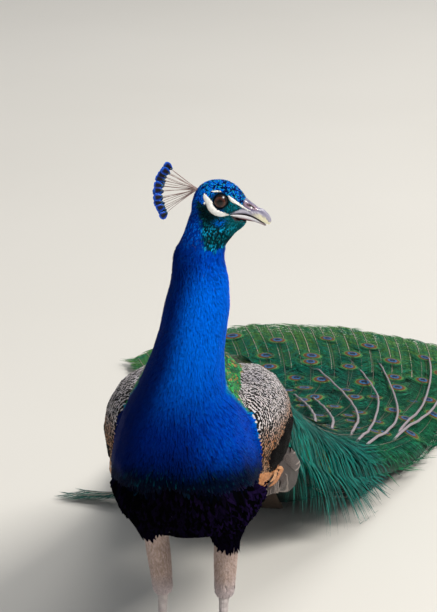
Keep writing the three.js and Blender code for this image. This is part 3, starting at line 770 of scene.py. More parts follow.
class Surface:
    """The skin, for finding roots, nearest points and normals."""

    def __init__(self, mesh):
        self.mesh = mesh
        self.points = vertices_of(mesh)
        self.vertex_normals = normals_of(mesh)
        faces = [tuple(p.vertices) for p in mesh.polygons]
        self.tree = BVHTree.FromPolygons([Vector(p) for p in self.points], faces)
        self.faces = faces

    def nearest(self, points):
        """Nearest surface points and their smooth normals."""
        spots, normals = np.empty_like(points), np.empty_like(points)
        for i, p in enumerate(points):
            hit, _, face, _ = self.tree.find_nearest(Vector(p))
            corners = list(self.faces[face])
            gaps = np.linalg.norm(self.points[corners] - np.array(hit), axis=1)
            weight = 1 / (gaps + 1e-5)
            spots[i] = hit
            normals[i] = (self.vertex_normals[corners] * weight[:, None]).sum(0)
        return spots, unit(normals)

    def shoot(self, starts, aim):
        """Where rays from outside strike; NaN where they miss."""
        spots = np.full_like(starts, np.nan)
        for i, start in enumerate(starts):
            hit = self.tree.ray_cast(Vector(start), Vector(aim))[0]
            if hit is not None:
                spots[i] = hit
        return spots

    def scatter(self, rng, spacing, keep):
        """Roots spread over the skin where keep says so; spacing is in mm, or a function of place."""
        tri = np.array([(f[0], f[k], f[k + 1]) for f in self.faces for k in range(1, len(f) - 1)])
        a, b, c = (self.points[tri[:, k]] for k in range(3))
        middle = (a + b + c) / 3
        normal = np.cross(b - a, c - a)
        area = np.linalg.norm(normal, axis=1) / 2
        normal = unit(normal)
        wanted = keep(middle, normal)
        gap = np.broadcast_to(spacing(middle) if callable(spacing) else spacing, len(tri)) * MM
        share = np.where(wanted, area / gap ** 2, 0)
        count = int(share.sum() * TRIES)
        pick = rng.choice(len(tri), count, p=share / share.sum())
        r1, r2 = np.sqrt(rng.random(count)), rng.random(count)
        shares = ((a, 1 - r1), (b, r1 * (1 - r2)), (c, r1 * r2))
        spots = sum(corner[pick] * part[:, None] for corner, part in shares)
        return self.thin_out(spots, gap[pick])

    def thin_out(self, spots, gaps):
        """Drops points that lie nearer than their gap to one kept before."""
        cell = gaps.max() if len(gaps) else 1
        grid, kept = {}, []
        keys = np.floor(spots / cell).astype(int)
        near = [(i, j, k) for i in (-1, 0, 1) for j in (-1, 0, 1) for k in (-1, 0, 1)]
        places = spots.tolist()
        for n, (key, place) in enumerate(zip(map(tuple, keys.tolist()), places)):
            gap2 = (CROWDING * gaps[n]) ** 2
            free = True
            for i, j, k in near:
                for x, y, z in grid.get((key[0] + i, key[1] + j, key[2] + k), ()):
                    if (x - place[0]) ** 2 + (y - place[1]) ** 2 + (z - place[2]) ** 2 < gap2:
                        free = False
                        break
                if not free:
                    break
            if free:
                grid.setdefault(key, []).append(place)
                kept.append(n)
        return spots[kept]


def leaf(outline):
    """A feather's pattern: three points across each row, one at the tip. outline: along, half-width."""
    places = []
    for reach, half in outline[:-1]:
        places += [(-half, reach), (0, reach), (half, reach)]
    places.append((0, outline[-1][0]))
    rows = len(outline) - 1
    last, tip = 3 * (rows - 1), 3 * rows
    ends = np.array([(last, last + 1, tip), (last + 1, last + 2, tip)])
    return np.array(places, float), [grid_faces(rows, 3, closed=False), ends]


SCALE_LEAF = leaf([(0, 0.45), (0.4, 0.95), (0.75, 0.9), (0.93, 0.5), (1, 0)])
SOFT_LEAF = leaf([(0, 0.5), (0.45, 1.0), (0.8, 0.6), (1, 0)])
FINE_LEAF = leaf([(0, 0.6), (0.5, 1.0), (1, 0)])
PATCH = 0.0015       # half the size of a feather's patch in the bake map
ROOT_SINK = 0.6      # how far a feather's root is sunk into the skin, mm
NEARBY = 0.02        # share of a feather's length over which its direction is measured


def spline_weights(places, steps):
    """Catmull-Rom weights of steps+1 equally spaced knots for each place from 0 to 1."""
    knots = np.eye(steps + 1)
    return along(knots, np.clip(places, 0, 1))


def lay(surface, roots, flow, length, width, pattern, lift, cup=0.12, steps=2):
    """Feathers from roots on a surface, each following it along the flow.

    length and width are in mm per feather; lift is the height over the skin at root, middle and tip,
    and flow is a direction per feather or a function of points. Returns points, faces, and each
    point's across and along on its feather."""
    places, faces = pattern
    count = len(roots)
    step = np.broadcast_to(length, count)[:, None] * MM / steps
    width = np.broadcast_to(width, count)[:, None, None] * MM
    heading = flow if callable(flow) else (lambda points: flow)
    knots, normals = [], []
    spot, normal = surface.nearest(roots)
    for i in range(steps + 1):
        height = np.interp(i / steps, (0, 0.5, 1), lift) - (ROOT_SINK if i == 0 else 0)
        knots.append(spot + normal * height * MM)
        normals.append(normal)
        if i < steps:
            way = heading(spot)
            way = unit(way - normal * (way * normal).sum(1, keepdims=True))
            spot, normal = surface.nearest(spot + way * step)
    knots, normals = np.stack(knots, 1), np.stack(normals, 1)
    u, v = places[:, 0][None, :, None], places[:, 1]
    centre = np.einsum("kj,njc->nkc", spline_weights(v, steps), knots)
    ahead = np.einsum("kj,njc->nkc", spline_weights(v + NEARBY, steps), knots)
    behind = np.einsum("kj,njc->nkc", spline_weights(v - NEARBY, steps), knots)
    normal = unit(np.einsum("kj,njc->nkc", spline_weights(v, steps), normals))
    across = unit(np.cross(ahead - behind, normal))
    points = centre + across * u * width / 2 - normal * (cup * u ** 2) * width
    points[..., 2] = np.maximum(points[..., 2], 0.4 * MM)
    vane = np.tile(stack(0.5 + places[:, 0] / 2, v), (count, 1))
    return points.reshape(-1, 3), [copies(f, count, len(places)) for f in faces], vane


def patches(home, vane):
    """Each feather's small patch in the bake map, at its root's place on the skin's unwrap."""
    per = len(vane) // len(home)
    centre = np.repeat(np.clip(home, 0.004, 0.996), per, 0)
    return centre + (vane - 0.5) * 2 * PATCH


def coat(name, surface, roots, flow, length, width, tint, material, slot, lift, pattern=SCALE_LEAF, home=None,
         **how):
    """One piece of plumage. tint is a colour for each feather, home the unwrap of the surface."""
    points, faces, vane = lay(surface, roots, flow, length, width, pattern, lift, **how)
    per = len(points) // len(roots)
    part(name, points, faces, material, slot, tint=np.repeat(tint, per, 0), vane=vane,
         home=patches((home or body_home)(roots), vane))


# ---- The lie of the coat --------------------------------------------------------------------

# The bird's middle line from the forehead over the skull and down through neck and body (body mm).
SPINE = np.array([(88, -110, 757), (58, -110, 758), (50, -110, 744), (44, -111, 720), (35, -113, 702),
                  (31, -116, 688), (32, -118, 657), (28, -118, 625), (22, -117, 594), (15, -113, 561),
                  (8, -106, 524), (6, -88, 484), (5, -55, 446), (4, -8, 410), (5, 50, 382), (5, 110, 362),
                  (4, 170, 346), (2, 240, 332), (0, 320, 312), (0, 400, 280)], float)
SPINE_RUN = np.concatenate([[0], np.cumsum(np.linalg.norm(np.diff(SPINE, axis=0), axis=1))])


def spine_place(points):
    """Distance along the middle line (mm), its direction there, and the point on it, per point."""
    p = body_mm(points)
    a, b = SPINE[:-1], SPINE[1:]
    run = b - a
    t = np.clip(((p[:, None] - a) * run).sum(-1) / (run ** 2).sum(-1), 0, 1)
    foot = a + run * t[..., None]
    gap = np.linalg.norm(p[:, None] - foot, axis=-1)
    best = gap.argmin(1)
    row = np.arange(len(p))
    distance = SPINE_RUN[best] + t[row, best] * np.diff(SPINE_RUN)[best]
    slope = np.gradient(SPINE, SPINE_RUN, axis=0)
    heading = stack(*(np.interp(distance, SPINE_RUN, slope[:, k]) for k in range(3)))
    return distance, unit(heading), foot[row, best]


def body_home(points):
    """The skin's unwrap: round the middle line, and along it."""
    distance, heading, foot = spine_place(points)
    away = body_mm(points) - foot
    left = np.array([1.0, 0, 0]) - heading * heading[:, :1]
    left = unit(np.where(np.abs(heading[:, :1]) > 0.9, np.array([0, -1.0, 0]), left))
    over = np.cross(heading, left)
    turn = np.arctan2((away * left).sum(1), (away * over).sum(1))
    return np.stack([turn / (2 * math.pi) + 0.5, distance / SPINE_RUN[-1]], 1)


def body_flow(points):
    """Which way the feathers point on head, neck and body."""
    heading = spine_place(points)[1]
    p = head_mm(points)
    turn_down = np.maximum(smooth(2, -26, p[:, 0]), smooth(-16, -40, p[:, 2]))
    on_head = mix(np.array([-1.0, 0, -0.12]), np.array([-0.05, 0, -1.0]), turn_down)
    return unit(mix(heading, unit(on_head), smooth(-62, -34, p[:, 2])))


# ---- Markings, with painted shade and painted sheen -----------------------------------------

# Blues of the plumage; neck_colour also uses DEEP as painted shade and BRIGHT as a painted highlight.
ROYAL, DEEP, BRIGHT = colour(0x0050DC), colour(0x001A66), colour(0x007AFF)
CYAN, TEAL, DARK_TEAL, MOSS = colour(0x16A6D8), colour(0x0B7C8C), colour(0x06424A), colour(0x0A5A48)
# PLUM is a painted purple sheen on the black belly and on the thighs' fringe.
BLACK, PLUM = colour(0x040405), colour(0x1A1030)
EMERALD, GRASS, BRONZE = colour(0x0CA866), colour(0x4CC24A), colour(0x8E6A34)
BUFF, LILAC_GREY = colour(0xE6CCC4), colour(0xD6C8CC)


def belly_edge(p):
    """Below 0 the breast is blue, above 0 the belly is black, in mm past the edge (body mm)."""
    return 410 - 0.333 * (p[..., 1] + 189) - p[..., 2] + 6 * wobble(p, 60)


def mantle_edge(p):
    """Above 0 the back is scaled with green, below it is still the blue neck (body mm)."""
    beside_breast = p[..., 1] + 1.1 * p[..., 2] - 449
    behind_neck = 0.9 * (p[..., 1] + 125) - 0.9 * (p[..., 2] - 515)
    above_wings = 0.8 * (p[..., 2] - 438) - 0.002 * (p[..., 0] - MIDLINE) ** 2
    above_wings = above_wings + 0.5 * np.maximum(p[..., 1], 0)
    return np.minimum(np.minimum(behind_neck, above_wings), beside_breast) + 3 * wobble(p, 40, 2)


def wing_front(p):
    """How far behind the front border of the wing's feathers a body place lies, in mm."""
    left = np.interp(p[..., 2], (330, 345, 358, 371, 375, 378, 396, 414, 432, 446, 456, 478),
                     (-10, -25, -63, -82, -75, -58, -55, -59, -59, -55, -51, -69))
    right = np.interp(p[..., 2], (330, 345, 358, 379, 409, 425, 438, 450, 478),
                      (-10, -25, -40, -25, -34, -37, -36, -35, -50))
    return p[..., 1] - np.where(p[..., 0] > MIDLINE, left, right)


def wing_reach(p):
    """How far inside the wing's feathered patch a body place lies, in mm; below 0 is breast or belly."""
    edge = np.interp(p[..., 1], (-84, -63, -30, -7, 40, 60, 180, 300),
                     (372, 360, 346, 338, 326, 314, 296, 280))
    return np.minimum(wing_front(p), p[..., 2] - edge)


def wing_line(p):
    """Below 0 the wing is barred, above 0 black, in mm past their border."""
    rise = np.interp(p[..., 1], (-26, -7, 17, 50, 100, 160, 205, 255),
                     (384, 390, 397, 388, 374, 368, 362, 354))
    rise = rise - p[..., 2] + 3 * wobble(p, 34, 5)
    return np.minimum(rise, p[..., 1] + 26 - 0.95 * np.maximum(384 - p[..., 2], 0))


def neck_colour(p, h, noise, streak):
    """Royal blue, with painted shade down the breast and on the bird's right, away from the key light, a
    painted highlight up the neck's lit side, and darker at the top of the neck.
    """
    tone = mix(ROYAL, DEEP, 0.65 * smooth(0.55, 1.0, noise + 0.25 * streak))
    tone = mix(tone, BRIGHT, smooth(0.45, 0.0, noise + 0.3 * streak) * 0.45)
    # painted shade: darker low on the neck and breast, most on the bird's right, away from the key light
    shaded = smooth(640, 460, p[..., 2]) * (0.4 + 0.55 * smooth(70, 10, p[..., 0] + 10 * streak))
    tone = mix(tone, DEEP, shaded)
    # darker towards the black belly: partly the plumage's own colour, partly painted shade low on the breast
    tone = mix(tone, colour(0x001038), 0.85 * smooth(-75, -12, belly_edge(p)))
    # left is mm in from the bird's right outline; near it the blue darkens as painted shade on the side away
    # from the key light
    left = p[..., 0] - np.interp(p[..., 2], (440, 470, 560, 640, 700, 760), (-80, -62, -25, -9, 5, 20))
    tone = mix(tone, colour(0x00144C), 0.8 * smooth(48, 12, left))
    upper = smooth(-112, -58, h[..., 2])
    # painted highlight: brighter blue up the neck's lit side, away from its shaded right outline
    tone = mix(tone, BRIGHT, 0.55 * smooth(480, 600, p[..., 2]) * (1 - upper) * smooth(14, 44, left))
    return mix(tone, DEEP, 0.25 * upper)


def crown_colour(h, noise):
    """Black, blue and cyan dots on the crown; a plain blue nape; a teal and black face."""
    forward, high = h[..., 0], h[..., 2]
    crown = mix(mix(ROYAL, BRIGHT, noise), CYAN, smooth(0.66, 0.9, noise))
    crown = mix(crown, BLACK, 0.92 * smooth(0.44, 0.30, noise - 0.14 * smooth(-6, 8, forward)))
    nape = mix(mix(ROYAL, DEEP, 0.7), BRIGHT, 0.8 * smooth(0.4, 1.0, noise))
    face = mix(mix(DARK_TEAL, TEAL, noise), CYAN, 0.5 * smooth(0.75, 1.0, noise))
    face = mix(face, BLACK, 0.8 * smooth(0.4, 0.15, noise))
    tone = mix(nape, crown, smooth(-24, -17, forward + 0.5 * (high - 5)) * smooth(-12, 2, high))
    cheek = smooth(3, 7, np.abs(h[..., 1])) * smooth(2, 8, forward)
    return mix(tone, face, smooth(10, 5, high + 0.62 * (forward - 9)) * cheek)


def throat_share(h, noise, streak):
    """1 on the throat's dark bib, 0 off it."""
    forward, high = h[..., 0], h[..., 2]
    behind = forward + 23.5 - 0.22 * (-29 - high) + 2.4 * wobble(h, 8, 4)
    bib = smooth(-3.0, 3.0, behind + 3 * (noise - 0.5)) * smooth(-61.5, -55.5, high + 2.5 * streak)
    return bib * smooth(-1.0, -4.0, high + 0.45 * (forward + 20))


def bib_colour(h, noise):
    """The throat's dark bib, its two rows of dots, its green jaw, the dark ear, and a patch of painted blue
    highlights below the eye.
    """
    forward, high = h[..., 0], h[..., 2]
    dots = bell((high + 33.5 - 0.1 * forward) / 4.2) + bell((high + 54) / 4.0)
    bib = mix(BLACK, DARK_TEAL, 0.25 + 0.6 * noise)
    bib = mix(bib, TEAL, 0.8 * smooth(0.8 - 0.4 * dots, 1.0, noise))
    bib = mix(bib, CYAN, np.clip(dots, 0, 1) * smooth(0.62, 0.8, noise))
    jaw = smooth(6, 14, forward + 0.25 * (high + 36)) * smooth(-46, -38, high)
    bib = mix(bib, mix(DARK_TEAL, mix(MOSS, TEAL, 0.5), noise), 0.75 * jaw)
    # painted highlight: bright blue glints on the dark teal below the eye
    blue_glints = bell(np.hypot((forward - 1) / 7, (high + 25.5) / 3.2))
    bib = mix(bib, BRIGHT, 0.9 * blue_glints * smooth(0.3, 0.6, noise))
    ear = bell(np.hypot((forward + 17 - 0.5 * (-12 - high)) / 9, (high + 13) / 10))
    ear = ear * smooth(3, 8, np.abs(h[..., 1]))
    return mix(bib, mix(BLACK, DARK_TEAL, 0.3 * noise), np.clip(1.5 * ear, 0, 0.95))


def belly_colour(p, tone, noise):
    """The black belly with a painted plum sheen, strongest on the bird's left towards the key light, and a
    painted dark green sheen along its border.
    """
    # painted sheen: dark teal glints along the belly's border
    gloss = between(0x010812, 0x02303A, smooth(0.8, 1.0, noise))
    tone = mix(tone, gloss, 0.9 * smooth(-34, -8, belly_edge(p)))
    # painted sheen: plum on the black, strongest on the bird's left, towards the key light
    plum = smooth(0.35, 0.9, noise) * (0.3 + 0.7 * smooth(0, 80, p[..., 0]))
    return mix(tone, mix(BLACK, PLUM, plum), smooth(-5, 5, belly_edge(p)))


def back_colour(p, tone, noise):
    """The scaled green back, its cyan border against the neck, and the bronze rump."""
    mantle = smooth(-3, 3, mantle_edge(p))
    scales = mix(EMERALD, colour(0x02331C), 0.75 * smooth(0.62, 0.4, noise))
    scales = mix(scales, GRASS, smooth(0.62, 0.95, noise))
    scales = mix(scales, colour(0xD09A50), 0.85 * smooth(0.2, 0.1, noise))
    tone = mix(tone, scales, mantle)
    high = p[..., 2]
    border = bell(np.minimum(mantle_edge(p) + 2, 0) / 4) * (mantle_edge(p) > -12)
    beside_wing = bell(np.minimum(wing_front(p) + 2, 0) / 4) * (high > 425) * (high < 492)
    border = np.maximum(border, beside_wing) * (1 - mantle)
    border = border * (np.abs(p[..., 0] - MIDLINE) > 50) * (high > 425)
    tone = mix(tone, mix(TEAL, CYAN, noise), 0.75 * border)
    rump = smooth(150, 260, p[..., 1]) * mantle
    return mix(tone, mix(MOSS, BRONZE, 0.55 * noise + 0.15), 0.8 * rump)


def body_colour(points, noise):
    """The colour of head, neck and body at points in metres. noise is 0 to 1 for each point."""
    p, h = body_mm(points), head_mm(points)
    streak = wobble(p * np.array([1, 1, 0.22]), 9, 3)
    throat = throat_share(h, noise, streak)
    head = mix(crown_colour(h, noise), bib_colour(h, noise), throat)
    orbit = smooth(14.5, 9.5, np.hypot(h[..., 0], h[..., 2])) * (np.abs(h[..., 1]) > 6)
    head = mix(head, mix(BLACK, DARK_TEAL, 0.5), 0.85 * orbit)
    tone = mix(neck_colour(p, h, noise, streak), head, np.maximum(smooth(-62, -36, h[..., 2]), throat))
    return back_colour(p, belly_colour(p, tone, noise), noise)


def fringe_edge(p):
    """The height at which a leg turns from buff to the belly's black, body mm."""
    return np.where(p[..., 0] < 0, 274, 254) - 0.5 * (np.abs(p[..., 0]) - 43)


def leg_colour(points, noise):
    """Black at the belly's fringe, then buff down to the hock."""
    p = body_mm(points)
    buff = mix(BUFF, colour(0xB89C8A), noise * 0.8)
    pale = mix(buff, LILAC_GREY, smooth(190, 150, p[..., 2]) * 0.8)
    # PLUM on the black fringe is a painted purple sheen
    return mix(pale, mix(BLACK, PLUM, noise), smooth(-10, 6, p[..., 2] - fringe_edge(p) + 5 * wobble(p, 22)))


def is_wing(points, zone_at):
    """Whether points of the skin carry wing feathers."""
    p = body_mm(points)
    zones = zone_at(points)
    outside = np.abs(p[:, 0] - MIDLINE) > np.interp(p[:, 1], (-70, -22, 15, 92, 170), (66, 65, 63, 53, 30))
    outside |= p[:, 2] < 400
    near = (wing_reach(p) > 0) & ~np.char.startswith(zones, "thigh") & (p[:, 1] < 60)
    return (np.char.startswith(zones, "wing") | near) & outside


def jitter(rng, flow, degrees):
    """Directions turned a little at random."""
    return unit(flow + rng.normal(0, math.tan(math.radians(degrees)), flow.shape))


def same_way(points, x, y, z):
    """One direction for all the points."""
    return np.tile(unit(np.array([x, y, z])), (len(points), 1))


# ---- Plumage of head, neck and body ---------------------------------------------------------

def skin_colours(mesh, zone_at):
    """Tints the skin like the coat over it, and dark red inside the gape."""
    points = vertices_of(mesh)
    p, h = body_mm(points), head_mm(points)
    noise = 0.5 + 0.5 * wobble(p, 7)
    tone = body_colour(points, noise)
    leg = np.char.startswith(zone_at(points), "thigh") & (p[:, 2] < 300)
    tone[leg] = leg_colour(points[leg], noise[leg])
    wing = is_wing(points, zone_at)
    tone[wing] = mix(colour(0x2A2320), BLACK, smooth(-4, 4, wing_line(p[wing])))
    gape = (h[:, 0] - feather_line(h[:, 2]) > -0.3) & (h[:, 2] > -30)
    tone[gape] = colour(0x2A0F12)
    set_tint(mesh, tone)


NECK_TOP = -58       # below the eyes: where the head's feathers end, mm
NECK_LOW = 470       # height of the neck's lower end, body mm


def dress_body(skin, zone_at):
    """Feathers of head, neck, breast, belly, back and rump, each tract a piece of its own."""
    silk = feather_material("silky_blue", 0.5, 12, 0.12, 0.35, metallic=0.15, Specular_IOR_Level=0.02,
                            Specular_Tint=(0.05, 0.3, 1.0, 1.0))
    gloss = feather_material("glossy_scales", 0.4, 16, 0.2, 0.5, metallic=0.3, hem=0.85,
                             hem_tint=colour(0x041008), Specular_IOR_Level=0.15)
    velvet = feather_material("black_belly", 0.6, 12, 0.15, 0.5, Specular_IOR_Level=0.0)
    rng = np.random.default_rng(11)
    up = lambda m: head_mm(m)[:, 2]
    mantle = lambda m: mantle_edge(body_mm(m))
    belly = lambda m: belly_edge(body_mm(m))
    fleshy = lambda m: ~is_wing(m, zone_at) & ~np.char.startswith(zone_at(m), "thigh")
    throat = lambda m: smooth(-18, -60, up(m))
    far_back = lambda m: smooth(20, 240, y_mm(m))

    def tract(name, keep, spacing, length, width, pattern, material, colour_name, lift, turn):
        """Feathers where keep says so; turn is how far in degrees they stray from the flow."""
        roots = skin.scatter(rng, spacing, keep)
        noise = rng.random(len(roots))
        size = 0.85 + 0.3 * rng.random(len(roots))
        long = (length(roots) if callable(length) else length) * size
        wide = (width(roots) if callable(width) else width) * size
        flow = jitter(rng, body_flow(roots), turn)
        coat(name, skin, roots, flow, long, wide, body_colour(roots, noise), material,
             f"plumage_{colour_name}", lift, pattern)

    tract("head_feathers", lambda m, n: (up(m) > NECK_TOP) & (bare_face(head_mm(m)) > 0.4),
          lambda m: 1.15 + 0.9 * smooth(-20, -60, up(m)), lambda m: 2.6 + 4.0 * throat(m),
          lambda m: 1.9 + 1.2 * throat(m), FINE_LEAF, silk, "blue", (0.2, 0.6, 0.9), 9)
    tract("neck_feathers",
          lambda m, n: (up(m) <= NECK_TOP) & (z_mm(m) > NECK_LOW) & fleshy(m) & (mantle(m) < 2),
          1.95, lambda m: 8.0 + 3.5 * smooth(-90, -260, up(m)), 2.5,
          SOFT_LEAF, silk, "blue", (0.5, 1.9, 2.7), 7)
    tract("breast_feathers",
          lambda m, n: (z_mm(m) <= NECK_LOW) & fleshy(m) & (mantle(m) < 2) & (belly(m) < 3),
          2.35, 13.0, 3.2, SOFT_LEAF, silk, "blue", (0.5, 2.1, 3.0), 7)
    tract("belly_feathers",
          lambda m, n: fleshy(m) & (belly(m) >= 0) & (mantle(m) < 0) & (n[:, 2] < 0.6),
          4.4, 22.0, 6.5, SOFT_LEAF, velvet, "black", (0.4, 2.4, 4.6), 11)
    flank = lambda m: (np.abs(x_mm(m) - MIDLINE) > 52) & (z_mm(m) < 415) & (y_mm(m) < 60)
    tract("flank_feathers",
          lambda m, n: fleshy(m) & (belly(m) >= 3) & (mantle(m) < 0) & flank(m),
          5.5, 27.0, 7.0, SOFT_LEAF, velvet, "black", (0.4, 4.5, 8.0), 11)
    tract("back_scales",
          lambda m, n: fleshy(m) & (mantle(m) >= -2) & (n[:, 2] > 0.1) & (z_mm(m) > 300),
          lambda m: 3.4 + 4.4 * far_back(m), lambda m: 9.5 + 13 * far_back(m),
          lambda m: 5.4 + 9.5 * far_back(m), SCALE_LEAF, gloss, "green", (0.4, 2.2, 3.6), 5)


# ---- Wings ----------------------------------------------------------------------------------

SILVER, SAND, RUST = colour(0xF4F2F8), colour(0xD2B296), colour(0xB06E38)
TAUPE, TAUPE_PALE = colour(0x453A37), colour(0x695C58)
SHOULDER = (-120, 480)   # y and z of the point from which the wing's bars ring out, mm


def wing_flow(points):
    """Away from the shoulder: down at the wing's front, back along its length."""
    p = body_mm(points)
    side = np.sign(p[:, 0] - MIDLINE)
    away = unit(np.stack([p[:, 1] - SHOULDER[0], p[:, 2] - SHOULDER[1]], 1))
    away = mix(away, np.array([0.95, -0.28]), smooth(40, 160, p[:, 1]))
    return unit(np.stack([side * (0.35 * smooth(20, -60, p[:, 1]) - 0.05), away[:, 0], away[:, 1]], 1))


def covert_colour(points, noise):
    """The bars' pale ground: silver above, sand and rust below, lilac grey at the back's edge."""
    p = body_mm(points)
    low = smooth(440, 404, p[:, 2] + 0.1 * p[:, 1] + 6 * wobble(p, 26))
    ground = mix(SILVER, SAND, 0.1 + 0.25 * noise)
    ground = mix(ground, mix(SAND, RUST, 0.25 + 0.75 * noise), low)
    rim = smooth(446, 468, p[:, 2]) * smooth(-30, 60, p[:, 1])
    return mix(ground, colour(0xBDBACB), 0.6 * rim)


def dress_wings(skin, zone_at):
    """Barred coverts; then black ones; and a rusty edge low on the front of each wing."""
    rng = np.random.default_rng(23)
    barred = barred_material()
    black = feather_material("black_coverts", 0.6, 24, 0.12, 0.6, Specular_IOR_Level=0.02)
    rust = feather_material("rusty_coverts", 0.6, 16, 0.12, 0.75, Specular_IOR_Level=0.2)
    grow = lambda m: smooth(0, 200, y_mm(m))
    border = lambda m: wing_line(body_mm(m))
    low_edge = lambda m: z_mm(m) - np.interp(y_mm(m), (-84, -63, -30, -7, 15, 40),
                                             (381, 371, 359, 352, 347, 340))
    for side, sign in SIDES.items():
        here = lambda m: is_wing(m, zone_at) & (sign * (x_mm(m) - MIDLINE) > 0) & (z_mm(m) > 300)
        name = lambda kind: f"wing_{kind}_{side}_feathers"
        roots = skin.scatter(rng, lambda m: 2.9 + 3.2 * grow(m),
                             lambda m, n: here(m) & (border(m) < -15) & (low_edge(m) > 0))
        noise = rng.random(len(roots))
        long = (9.5 + 16 * grow(roots)) * (0.9 + 0.2 * noise)
        coat(name("coverts"), skin, roots, jitter(rng, wing_flow(roots), 5), long, long * 0.52,
             covert_colour(roots, noise), barred, "plumage_barred", (1.5, 3.6, 4.8))
        roots = skin.scatter(rng, 6.0, lambda m, n: here(m) & (border(m) > -19) & (y_mm(m) < 250))
        noise = rng.random(len(roots))
        coat(name("black"), skin, roots, jitter(rng, wing_flow(roots), 4), 24.0, 12.0,
             between(0x020203, 0x070609, noise), black, "plumage_dark", (1.5, 4.0, 5.0))
        roots = skin.scatter(rng, 3.6, lambda m, n: here(m) & (low_edge(m) <= 1) & (y_mm(m) < 30))
        noise = rng.random(len(roots))
        coat(name("rust"), skin, roots, jitter(rng, same_way(roots, sign * 0.25, 0.9, -0.4), 6),
             16 + 5 * noise, 5.5, between(0xB4713C, 0xE0A070, noise), rust, "plumage_orange",
             (1.5, 5.0, 6.5))


def quill(name, surface, roots, flow, length, width, tint, material, slot, lift, steps=8):
    """Long flight feathers, laid one over the next."""
    coat(name, surface, roots, flow, length, width, tint, material, slot, lift, QUILL_LEAF, cup=0.05,
         steps=steps)


def quill_leaf(rows=15):
    """A long vane, five points across, rounded at the tip."""
    reach = np.linspace(0, 1, rows)
    half = 0.35 + 0.65 * smooth(0, 0.25, reach)
    half = half * np.sqrt(np.clip(1 - (np.maximum(reach - 0.84, 0) / 0.165) ** 2, 0.02, 1))
    places = stack(np.linspace(-1, 1, 5) * half[:, None], reach[:, None]).reshape(-1, 2)
    return places, [grid_faces(rows, 5, closed=False)]


QUILL_LEAF = quill_leaf()


def seek(surface, sign, y, z):
    """Roots on the side of a surface at those body places, the last one first."""
    spots = surface.shoot(at(stack(MIDLINE + sign * 220.0, y, z)), (-sign, 0, 0))
    return spots[~np.isnan(spots[:, 0])][::-1]


def wing_core(side, nodes, material):
    """The smooth taupe core under the primaries."""
    core = remeshed(f"wing_core_{side}", nodes)
    relax(core, 24)
    move_to(core, vertices_of(core) - normals_of(core) * 2.2 * MM)
    set_tint(core, TAUPE * 0.6)
    finish_piece(new_object(core.name, core, material), "plumage_taupe", nodes)
    return Surface(core)


def dress_flight_feathers(skin, zone_at):
    """Black secondaries on the wing; taupe primaries and rusty alulae on a core of their own."""
    rng = np.random.default_rng(31)
    black = feather_material("black_secondaries", 0.55, 60, 0.1, 0.6, Specular_IOR_Level=0.03)
    taupe = feather_material("taupe_primaries", 0.55, 70, 0.1, 0.75, hem=0.5, hem_tint=colour(0xB0A29A),
                             Specular_IOR_Level=0.25)
    rust = feather_material("rusty_alula", 0.6, 30, 0.12, 0.7)
    core_material = tinted_material("wing_core", 0.7)
    for side, sign in SIDES.items():
        # secondaries from the top inner one down to the lowest
        roots = seek(skin, sign, np.array([130, 105, 80, 58, 38, 20, 4, -10, -18, -18, -16, -12]),
                     np.array([364, 368, 374, 381, 388, 392, 389, 385, 378, 368, 358, 348]))
        roots = roots[is_wing(roots, zone_at)]
        quill(f"wing_secondaries_{side}_feathers", skin, roots, wing_flow, (338 - y_mm(roots)) / 0.965, 25,
              between(0x030306, 0x0C0A0F, rng.random(len(roots))), black, "plumage_dark", (2.0, 7.0, 5.0),
              steps=10)
        folded = wing_core(side, [f"wing_primaries_{side}", f"wing_alula_{side}"], core_material)

        def run(points):
            late = smooth(15, 105, y_mm(points))
            return unit(mix(np.array([sign * 0.1, 0.34, -0.94]), np.array([-sign * 0.06, 0.94, -0.33]), late))

        fore = np.linspace(-18, 66, 17)
        roots = seek(folded, sign, fore, np.interp(fore, (-18, 0, 20, 66), (337, 338, 340, 342)))
        quill(f"wing_primaries_{side}_feathers", folded, roots, run,
              np.interp(y_mm(roots), (-16, 8, 28, 60), (46, 62, 120, 300)),
              np.interp(y_mm(roots), (-16, 30), (15, 26)),
              mix(TAUPE, TAUPE_PALE, 0.05 + 0.4 * rng.random(len(roots))), taupe, "plumage_taupe",
              (0.8, 2.4, 2.0), steps=20)
        # short taupe coverts over the core's rounded front
        grey = feather_material(f"primary_coverts_{side}", 0.55, 24, 0.1, 0.75)
        roots = folded.scatter(rng, 4.0, lambda m, n: y_mm(m) < 14)
        noise = rng.random(len(roots))
        coat(f"primary_coverts_{side}_feathers", folded, roots, jitter(rng, run(roots), 4), 20 + 8 * noise,
             7.5, mix(TAUPE, TAUPE_PALE, 0.1 + 0.5 * noise), grey, "plumage_taupe", (0.3, 1.0, 1.2))
        roots = seek(folded, sign, np.array([-2.0, -8.0, -12.0]), np.array([341.0, 336.5, 332.0]))
        quill(f"wing_alula_{side}_feathers", folded, roots, lambda m: same_way(m, sign * 0.3, 0.93, 0.16),
              np.linspace(46, 40, len(roots)), 5.5, between(0xB9713C, 0xE0A878, rng.random(len(roots))),
              rust, "plumage_orange", (3.0, 7.5, 8.0))


# ---- Legs -----------------------------------------------------------------------------------

def leg_flow(points):
    """Down the leg and a little back."""
    return same_way(points, 0, 0.24, -1.0)


